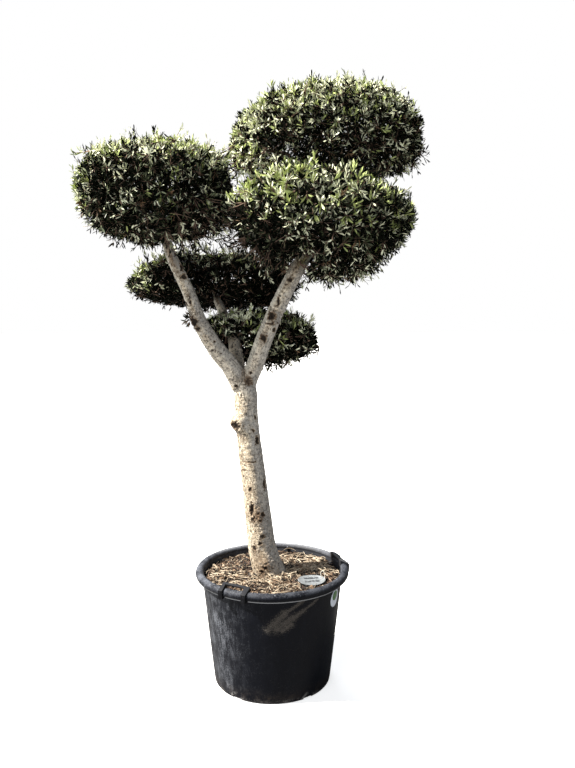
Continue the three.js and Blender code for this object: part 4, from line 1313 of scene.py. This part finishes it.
# Ways are how much a twig ends outward, how much upward, and how unevenly
branching = {"forks": 7, "forkShare": 0.4, "jitter": 0.25, "root": 0.8, "tip": 6.2, "steps": 7,
             "ways": (1.0, 0.35, 0.12), "onward": 0.4 / 30}
finer = {"wander": 7, "ways": (0.9, 0.5, 0.22)}
finerLevels = [  # points for each 1000 shoots, how far out they lie, thickness at root and tip
    {"each": 11, "share": 0.60, "root": 6.0, "tip": 3.6, "steps": 6},
    {"each": 66, "share": 0.82, "root": 3.6, "tip": 1.9, "steps": 5},
]
inner = {"each": 200, "share": (0.45, 0.84), "long": 55, "size": 1.6, "wander": 10, "upward": 0.3}
shoots = {"depth": (16, 54), "root": 1.7, "tip": 0.7, "steps": 2, "past": 6, "missing": 0.05,
          "missingUnder": 0.4, "ways": (0.75, 0.75, 0.3), "spread": 0.6, "freshLonger": 0.3}
sprigs = {"each": 12, "first": 4, "steep": 0.35, "out": (-14, 10), "farEach": 7, "far": (0.4, 1),
          "farOut": 34, "past": 56}  # the shoots that stand out above
hangers = {"each": 16, "first": 7, "steep": -0.35, "out": (-6, 18), "past": 36}  # and those that hang below
leaf = {  # its size, its place back from a twig's tip, how it leans out, and which way it faces
    "long": (17, 30), "wide": (4.4, 6.5), "byPair": ([0, 1.5, 4], [0.8, 1.05, 0.95]), "pairs": 3, "first": 2,
    "gap": 11, "gapUneven": 0.25, "leastShare": 0.12, "lean": 0.34, "leanEach": 0.17, "pairUneven": 0.15,
    "leanUneven": 0.1, "turnUneven": 0.25, "aimUneven": 0.08, "rise": 0.12, "upward": 0.3,
    "faces": (-0.3, -0.1, 0.7), "turned": 0.5, "askew": (0.31, 0.22, 1.0),
}
leafShapes = [{"bend": 0.10, "lift": 0.1}, {"bend": -0.07, "lift": 0.0}, {"bend": 0.24, "lift": -0.1}]
stem = {"atTip": 0.9, "atSide": 0.6, "taper": 0.2, "steps": 12}
limbClear, ballClear = 5, 1.01
boxRoom = 0.024  # how far leaves may pass the solids' box, of each side
leafTones = [  # plain colours, dealt out by spray: name, colour, roughness, shine; the near-black first tone is painted shade for dim and inner sprays, and the pale one is silvery leaves and partly painted highlight for sprays in the light
    ("leafDeep", (0.004, 0.0055, 0.003), 0.5, 0.04),
    ("leafOlive", (0.055, 0.067, 0.032), 0.4, 0.4),
    ("leafGreyGreen", (0.285, 0.32, 0.195), 0.42, 0.3),
    ("leafFresh", (0.43, 0.5, 0.19), 0.42, 0.3),
    ("leafPale", (0.91, 0.94, 0.69), 0.45, 0.3),
    ("leafDry", (0.2, 0.125, 0.07), 0.6, 0.2),
]
freshTone = 3
toneShares = [  # how many of a hundred sprays have each tone
    [31, 3, 6, 14, 46, 0],  # in the light
    [60, 9, 9, 4, 17, 1],  # on the sides
    [71, 9, 7, 1, 11, 1],  # underneath
    [33, 10, 12, 30, 15, 0],  # where the growth is fresh
]
toning = {"patch": 95, "patchy": 0.1, "uneven": 0.1, "sunSide": 0.45, "underFrom": -0.3, "dimBelow": 0.42,
          "freshPatchy": 0.55, "freshFrom": 1.15, "freshWide": 0.42}
shaded = {  # where more sprays are painted dark as shade: toward, how near that way, what share
    "left": [((-0.45, -0.85, 0.22), 0.9, 0.3)],
    "top": [((0.0, -0.85, -0.55), 0.86, 0.35)],
    "front": [((-0.9, -0.3, -0.4), 0.8, 0.6), ((0.15, -0.55, 0.75), 0.93, 0.35)],
    "low_right": [((0.8, -0.5, -0.1), 0.8, 0.45)],
}
# the sprout's leaves take mostly the near-black first tone: painted shade
sprout = {"mass": "left", "limb": "bough_left", "z": 1424, "turn": 205, "rise": 0.25, "count": 10, "long": 30,
          "leans": 0.6, "root": 1.4, "tip": 0.7, "leaf": (14, 24), "slim": 0.24, "tones": [0, 0, 1, 5]}


def shareOf(mass, points):  # 0 at the centre of a ball, 1 on its outline
    x, y, rise = np.moveaxis(points - mass["centre"], -1, 0)
    x, y = x / mass["half"][0], y / mass["half"][1]
    sag = np.clip(1 + mass["sag"][0] * x + mass["sag"][1] * y, 0.5, 1.5)
    z = np.where(rise > 0, rise / mass["up"], rise / (mass["down"] * sag))
    square = np.where(rise > 0, *mass["square"])
    flat, turn = np.hypot(x, y), np.arctan2(y, x)
    tilt = np.arctan2(z, flat)
    wave = np.sin(3 * turn + mass["seed"]) * np.cos(tilt) + np.sin(2 * turn - mass["seed"] + 3 * tilt)
    reach = 1 + ball["lump"] * wave
    way = unit(np.stack([x, y, z], -1))
    for toward, more, wide in clipping[mass["name"]]:
        reach = reach + more * np.exp(-(1 - way @ unit(toward)) / wide)
    for k, toward in enumerate(ripples["ways"]):
        reach = reach + ripples["high"] * np.sin(way @ np.array(toward, float) + mass["seed"] * (k + 1))
    return (flat**square + np.abs(z) ** square) ** (1 / square) / reach


def depthOf(mass, points):
    away = np.linalg.norm(points - mass["centre"], axis=-1)
    return away * (1 / np.maximum(shareOf(mass, points), 1e-6) - 1)


def pointUnder(mass, ways, depth):
    rise = np.where(ways[:, 2] > 0, mass["up"], mass["down"])
    out = np.stack([ways[:, 0] * mass["half"][0], ways[:, 1] * mass["half"][1], ways[:, 2] * rise], -1)
    reach = np.linalg.norm(out, axis=1) / shareOf(mass, mass["centre"] + out)
    return mass["centre"] + unit(out) * np.maximum(reach * ball["leastReach"], reach - depth)[:, None]


def spreadPoints(mass, count, depth, row):  # evenly by the golden angle, with some seeded jitter
    i = np.arange(count)
    z = 1 - 2 * (i + 0.5) / count
    turn = i * pi * (3 - sqrt(5))
    flat = np.sqrt(1 - z * z)
    jitter = np.array([next(row) for _ in range(count * 3)]).reshape(-1, 3) - 0.5
    reach = branching["jitter"] * min(1, 4 / sqrt(count))
    ways = unit(np.stack([flat * np.cos(turn), flat * np.sin(turn), z], -1) + jitter * reach)
    return pointUnder(mass, ways, depth)


def nearest(points, parents):
    found = np.empty(len(points), int)
    for first in range(0, len(points), 512):
        part = slice(first, first + 512)
        found[part] = np.linalg.norm(points[part, None] - parents[None], axis=-1).argmin(1)
    return found


def limbGap(points):
    least = np.full(len(points), 1e9)
    for line in limbs.values():
        for first in range(0, len(points), 20000):
            part = slice(first, first + 20000)
            gap = np.linalg.norm(points[part, None] - line[None, :, :3], axis=-1) - line[None, :, 3]
            least[part] = np.minimum(least[part], gap.min(1))
    return least


def keepsClear(mass, points, past):
    clear = (depthOf(mass, points) >= -past) & (limbGap(points) >= limbClear)
    room = (cadBox[1] - cadBox[0]) * boxRoom
    clear &= ((points * mm > cadBox[0] - room) & (points * mm < cadBox[1] + room)).all(-1)
    if mass["name"] in bareWood:
        limb, low, high, wide = bareWood[mass["name"]]
        line = limbs[limb]
        along, back = (np.interp(points[:, 2], line[:, 2], line[:, k]) for k in (0, 1))
        before = (points[:, 1] < back) & (np.abs(points[:, 0] - along) < wide)
        clear &= ~(before & (points[:, 2] > low) & (points[:, 2] < high))
    for other in masses:
        if other is not mass:
            clear &= shareOf(other, points) > ballClear
    return clear


def bendOf(start, startWay, end, endWay, ease=0.38):  # four handles for each twig
    reach = np.linalg.norm(end - start, axis=1, keepdims=True) * ease
    return np.stack([start, start + startWay * reach, end - endWay * reach, end], 1)


def alongBend(bend, t):  # points and directions at shares t of each twig, (twigs, shares)
    t = t[..., None]
    a, b, c, d = (bend[:, k][:, None] for k in range(4))
    place = (1 - t) ** 3 * a + 3 * (1 - t) ** 2 * t * b + 3 * (1 - t) * t**2 * c + t**3 * d
    return place, unit((1 - t) ** 2 * (b - a) + 2 * (1 - t) * t * (c - b) + t**2 * (d - c))


def evenly(first, last, steps, count):  # the same even steps for each of many twigs
    return np.tile(np.linspace(first, last, steps + 1), (count, 1))


def tapered(bend, root, tip, steps):  # the path of each twig and its radius along it
    return alongBend(bend, evenly(0, 1, steps, len(bend)))[0], evenly(root, tip, steps, len(bend))


def twigWays(mass, points, ways, rng):  # which way twigs end: out of the ball and up
    outward, upward, uneven = ways
    out = unit((points - mass["centre"]) / np.array([*mass["half"], mass["up"]]) ** 2)
    rise = np.clip(0.55 + 0.9 * out[:, 2:], 0.05, 1)
    return unit(out * outward + np.array([0, 0, 1]) * upward * rise + rng.normal(0, uneven, points.shape))


def dealLeaves(mass, bend, tone, rng, past, sparse, size, upward=0.0):
    shape = (len(bend), leaf["pairs"])

    def column(values):  # one value for each twig
        return np.broadcast_to(np.asarray(values), shape[:1])[:, None]

    upward = column(upward)[..., None] * np.array([0, 0, 1])
    length = np.linalg.norm(bend[:, 3] - bend[:, 0], axis=1)[:, None]
    k = np.arange(leaf["pairs"])[None]
    back = leaf["first"] + leaf["gap"] * (k + rng.uniform(-leaf["gapUneven"], leaf["gapUneven"], shape))
    root, way = alongBend(bend, np.clip(1 - back / length, leaf["leastShare"], 1))
    across = unit(np.cross(way, leaf["askew"]))
    third = np.cross(way, across)
    start = rng.uniform(0, pi, (shape[0], 1)) + k * pi / 2
    lean = leaf["lean"] + leaf["leanEach"] * k + rng.normal(0, leaf["pairUneven"], shape)
    hands = []
    for hand in (0, pi):
        turn = start + hand + rng.normal(0, leaf["turnUneven"], shape)
        side = across * np.cos(turn)[..., None] + third * np.sin(turn)[..., None]
        angle = (lean + rng.normal(0, leaf["leanUneven"], shape))[..., None]
        aim = way * np.cos(angle) + side * np.sin(angle)
        aim = aim + np.array([0, 0, leaf["rise"]]) + upward
        aim = unit(aim + rng.normal(0, leaf["aimUneven"], aim.shape))
        face = way + np.array(leaf["faces"]) + rng.normal(0, leaf["turned"], aim.shape)
        face = unit(face - aim * (face * aim).sum(-1, keepdims=True))
        long = rng.uniform(*leaf["long"], shape) * np.interp(k, *leaf["byPair"]) * column(size)
        wide = rng.uniform(*leaf["wide"], shape) * long / np.mean(leaf["long"])
        kept = rng.random(shape) >= column(sparse)
        rows = {"at": root, "aim": aim, "face": face, "size": np.stack([long, wide, long], -1),
                "kind": rng.integers(0, len(leafShapes), shape),
                "tone": np.broadcast_to(column(tone), shape), "past": np.broadcast_to(column(past), shape)}
        hands.append({key: values[kept] for key, values in rows.items()})
    leaves = {key: np.concatenate([rows[key] for rows in hands]) for key in rows}
    past = leaves.pop("past")
    middle, tip = (leaves["at"] + leaves["aim"] * leaves["size"][:, :1] * share for share in (0.5, 1))
    clear = keepsClear(mass, middle, past) & keepsClear(mass, tip, past)
    return {key: values[clear] for key, values in leaves.items()}


def sprayTones(mass, points, rng):  # a tone for each spray, by how it faces the light and by seeded patches
    fromCentre = (points - mass["centre"]) / np.array([*mass["half"], mass["up"]])
    high, way = fromCentre[:, 2], unit(fromCentre)
    patch = bumps(points, toning["patch"], mass["seed"])
    sunny = -fromCentre[:, 0] - mass.get("sunSide", toning["sunSide"])
    exposed = np.maximum(high, sunny) + toning["patchy"] * patch
    exposed += rng.normal(0, toning["uneven"], len(points))
    zone = np.where(exposed > mass["litFrom"], 0, np.where(high > toning["underFrom"], 1, 2))
    fresh = way @ unit(mass["freshToward"]) + toning["freshPatchy"] * patch
    zone = np.where(fresh > toning["freshFrom"] - toning["freshWide"] * mass["fresh"], 3, zone)
    edges = np.cumsum(toneShares, 1) / np.sum(toneShares, 1, keepdims=True)
    tone = (rng.random(len(points))[:, None] > edges[zone]).sum(1).clip(0, len(leafTones) - 1)
    dim = (rng.random(len(points)) < mass.get("dim", 0)) & (zone != 3) & (exposed < toning["dimBelow"])
    for side, close, share in shaded.get(mass["name"], []):
        there = way @ unit(side) + toning["patchy"] * patch > close
        dim |= there & (rng.random(len(points)) < share)
    return np.where(dim, 0, tone)


def stemLine(mass):  # from the bough's tip to the ball's heart, or from the side of a bough that passes
    line = limbs[mass["limb"]]
    heart = mass["centre"] - (0, 0, ball["heartDrop"] * mass["down"])
    if mass.get("fromSide"):
        inside = np.flatnonzero(shareOf(mass, line[:, :3]) < 1)
        root = inside[len(inside) // 2]
        start, radius = line[root, :3], line[root, 3] * stem["atSide"]
    else:
        root = len(line) - 1
        start, radius = line[root - 2, :3], line[root, 3] * stem["atTip"]
    middle = line[root, :3] + (heart - line[root, :3]) * 0.2
    stations = [(*p, radius * (1 - stem["taper"] * i)) for i, p in enumerate((start, middle, heart))]
    return smoothLine(stations, stem["steps"])


def growBranches(mass, row, rng):  # from the ball's heart to its forks, and on through the finer levels
    line = limbs["stem_" + mass["name"]]
    heart, radius = line[-1, :3], line[-1, 3]
    points = spreadPoints(mass, branching["forks"], (1 - branching["forkShare"]) * mass["up"], row)
    hearts = np.tile(heart, (len(points), 1))
    ways = unit((hearts - line[-4, :3]) * branching["onward"] + unit(points - heart))
    ends = twigWays(mass, points, branching["ways"], rng)
    bend = bendOf(hearts, ways, points, ends)
    paths = [tapered(bend, radius * branching["root"], branching["tip"], branching["steps"])]
    for level in finerLevels:
        parents, parentWays = points, ends
        count = int(level["each"] * mass["shoots"] / 1000)
        points = spreadPoints(mass, count, (1 - level["share"]) * mass["up"], row)
        points += rng.normal(0, finer["wander"], points.shape)
        ends = twigWays(mass, points, finer["ways"], rng)
        mother = nearest(points, parents)
        bend = bendOf(parents[mother], parentWays[mother], points, ends)
        paths.append(tapered(bend[keepsClear(mass, points, 0)], level["root"], level["tip"], level["steps"]))
    return paths, points, ends


def innerLeaves(mass, row, rng):  # near-black sprays fill the ball behind its skin: painted shade
    count = int(inner["each"] * mass["shoots"] / 1000)
    depth = (1 - rng.uniform(*inner["share"], count)) * mass["up"]
    points = spreadPoints(mass, count, depth, row) + rng.normal(0, inner["wander"], (count, 3))
    ends = unit(rng.normal(0, 1, points.shape) + (0, 0, inner["upward"]))
    points = points[keepsClear(mass, points, 0)]
    ends = ends[:len(points)]
    bend = bendOf(points - ends * inner["long"], ends, points, ends)
    return dealLeaves(mass, bend, np.zeros(len(points), int), rng, 0, 0, inner["size"])


def growMass(mass):
    row = seededRow(mass["seed"])
    rng = np.random.default_rng(mass["seed"])
    centre = mass["centre"]
    paths, parents, parentWays = growBranches(mass, row, rng)
    dark = innerLeaves(mass, row, rng)

    count = mass["shoots"]
    i = np.arange(count)
    steep = 1 - 2 * (i + 0.5) / count
    sprig = (i % sprigs["each"] == sprigs["first"]) & (steep > sprigs["steep"])
    far = sprig & (i % (sprigs["each"] * sprigs["farEach"]) == sprigs["first"])
    hanger = (i % hangers["each"] == hangers["first"]) & (steep < hangers["steep"])
    depth = rng.uniform(*shoots["depth"], count)
    depth = np.where(sprig, -rng.uniform(*sprigs["out"], count), depth)
    depth = np.where(far, -rng.uniform(*sprigs["far"], count) * sprigs["farOut"], depth)
    depth = np.where(hanger, -rng.uniform(*hangers["out"], count), depth)
    points = spreadPoints(mass, count, depth, row)
    skirt = np.zeros(count, bool)
    fromCentre = unit((points - centre) / np.array([*mass["half"], mass["up"]]))
    for toward, close, out in skirts[mass["name"]]:
        here = (fromCentre @ unit(toward) > close) & (rng.random(count) < skirtShare)
        points += (unit(points - centre) * (depth + rng.uniform(*out, count))[:, None]) * here[:, None]
        skirt |= here
    ends = twigWays(mass, points, shoots["ways"], rng)
    mother = nearest(points, parents)
    ways = unit(parentWays[mother] + shoots["spread"] * unit(points - parents[mother]))
    bend = bendOf(parents[mother], ways, points, ends)
    past = np.where(sprig | skirt, sprigs["past"], np.where(hanger, hangers["past"], shoots["past"]))
    nearTip = alongBend(bend, np.full((count, 1), 0.7))[0][:, 0]
    clear = keepsClear(mass, points, past) & keepsClear(mass, nearTip, past)
    bend, points, past, skirt = bend[clear], points[clear], past[clear], skirt[clear]
    paths.append(tapered(bend, shoots["root"], shoots["tip"], shoots["steps"]))
    rise = points[:, 2] - centre[2]
    under = np.clip(-rise / mass["down"], 0, 1)
    tone = sprayTones(mass, points, rng)
    size = np.where(tone == freshTone, 1 + shoots["freshLonger"] * mass["fresh"], 1.0)
    missing = shoots["missing"] + shoots["missingUnder"] * np.maximum(under**1.5, skirt)
    upward = leaf["upward"] * np.clip(rise / mass["up"], 0, 1)
    return paths, dealLeaves(mass, bend, tone, rng, past, missing, size, upward), dark


def growSprout():  # a tuft of young shoots on bare wood
    rng = np.random.default_rng(sprout["z"])
    count, turn = sprout["count"], radians(sprout["turn"])
    start = np.tile(surfacePoint(sprout["limb"], sprout["z"], sprout["turn"]), (count, 1))
    out = np.array([cos(turn), sin(turn), sprout["rise"]])
    ways = unit(out + rng.normal(0, sprout["leans"], (count, 3)))
    bend = bendOf(start, np.tile(unit(out), (count, 1)), start + ways * sprout["long"], ways)
    places = alongBend(bend, np.tile((0.98, 0.8, 0.6), (count, 1)))
    at, way = (rows.reshape(-1, 3).repeat(2, 0) for rows in places)
    side = unit(np.cross(way, rng.normal(0, 1, way.shape)))
    aim = unit(way + side * 0.6)
    long = rng.uniform(*sprout["leaf"], len(at))
    size = np.stack([long, long * sprout["slim"], long], -1)
    leaves = {"at": at, "aim": aim, "face": unit(np.cross(aim, side) + (0, 0, 0.5)), "size": size}
    leaves["kind"] = rng.integers(0, len(leafShapes), len(at))
    leaves["tone"] = rng.choice(sprout["tones"], len(at))
    return tapered(bend, sprout["root"], sprout["tip"], 4), leaves


leafStops = [(0.0, 0.0), (0.27, 0.4), (0.68, 0.46), (1.0, 0.0)]  # how wide the blade is along its length
innerStops = [(0.0, 0.0), (0.5, 0.5), (1.0, 0.0)]


def leafMesh(spec, stops):  # a lance-shaped blade of a few faces, bent along its length
    points, rows = [], []
    for x, half in stops:
        sides = (half, -half) if half else (0,)
        rows.append(list(range(len(points), len(points) + len(sides))))
        points += [(x, y, -spec["bend"] * x * x + spec["lift"] * abs(y)) for y in sides]
    faces = [tuple(a + b[::-1]) for a, b in zip(rows, rows[1:])]
    return meshOf("leaf", np.array(points) / mm, faces)


def twigFinish():
    twig = Finish("twigBark", (0.2, 0.15, 0.11), 0.8)
    tone = twig.cloud(twig.place(), 30, 3).above(0.35, 0.65)
    twig.paint((0.07, 0.042, 0.03), (tone, (0.26, 0.17, 0.12)))
    twig.relief(twig.cloud(twig.place(), 3), 0.5)
    return twig


def makeFoliage():
    tones, twig = [Finish(*tone) for tone in leafTones], twigFinish()
    shapes, plain = (shapeSet(name, [leafMesh(spec, stops) for spec in leafShapes])
                     for name, stops in (("leafShape", leafStops), ("innerShape", innerStops)))
    tubes, deal = tubeTree(), dealTree("leafDeal", len(tones))
    for mass in masses:
        paths, outer, dark = growMass(mass)
        if mass["name"] == sprout["mass"]:
            path, extra = growSprout()
            paths.append(path)
            outer = {key: np.concatenate([outer[key], extra[key]]) for key in outer}
        name, node = mass["name"], "foliage_" + mass["name"]
        settle(tubePiece("branches_" + name, tubes, twig, paths[:2], 8), "bark", node)
        settle(tubePiece("twigs_" + name, tubes, twig, paths[2:], 3), "bark", node)
        settle(dealtPiece("leaves_" + name, deal, shapes, tones, outer), "foliage", node)
        settle(dealtPiece("inner_leaves_" + name, deal, plain, tones, dark), "foliage", node)
    dropShapes(shapes)
    dropShapes(plain)


def makeFloor():
    floor = Finish("paleFloor", studio["floorColour"], 0.9)
    seen = floor.node("ShaderNodeLightPath", out="Is Camera Ray")
    floor.paint(studio["floorBounce"], (seen, studio["floorColour"]))
    floor.feed(floor.shader["Emission Color"], floor.mix(seen, (0, 0, 0), studio["floorGlow"]))
    floor.shader["Emission Strength"].default_value = 1.0
    turns = turnsRound(studio["floorSides"])
    ring = np.stack([np.cos(turns), np.sin(turns), np.zeros(len(turns))], -1) * studio["floorRadius"]
    mesh = meshOf("floor", ring - (0, 0, studio["floorBelow"]), [tuple(range(len(turns)))])
    shown("floor", mesh, floor, smooth=False)


makeCamera()
makeLights()
makeSky()
makeFloor()
print("studio ready")
makePot()
makeGrips()
makeSticker()
soilMaterials = frame["nodes"]["soil"].data.materials
soilMaterials.clear()
soilMaterials.append(soilFinish().material)
makeMulch()
makeTag()
print("pot filled")
makeWood()
makeFoliage()
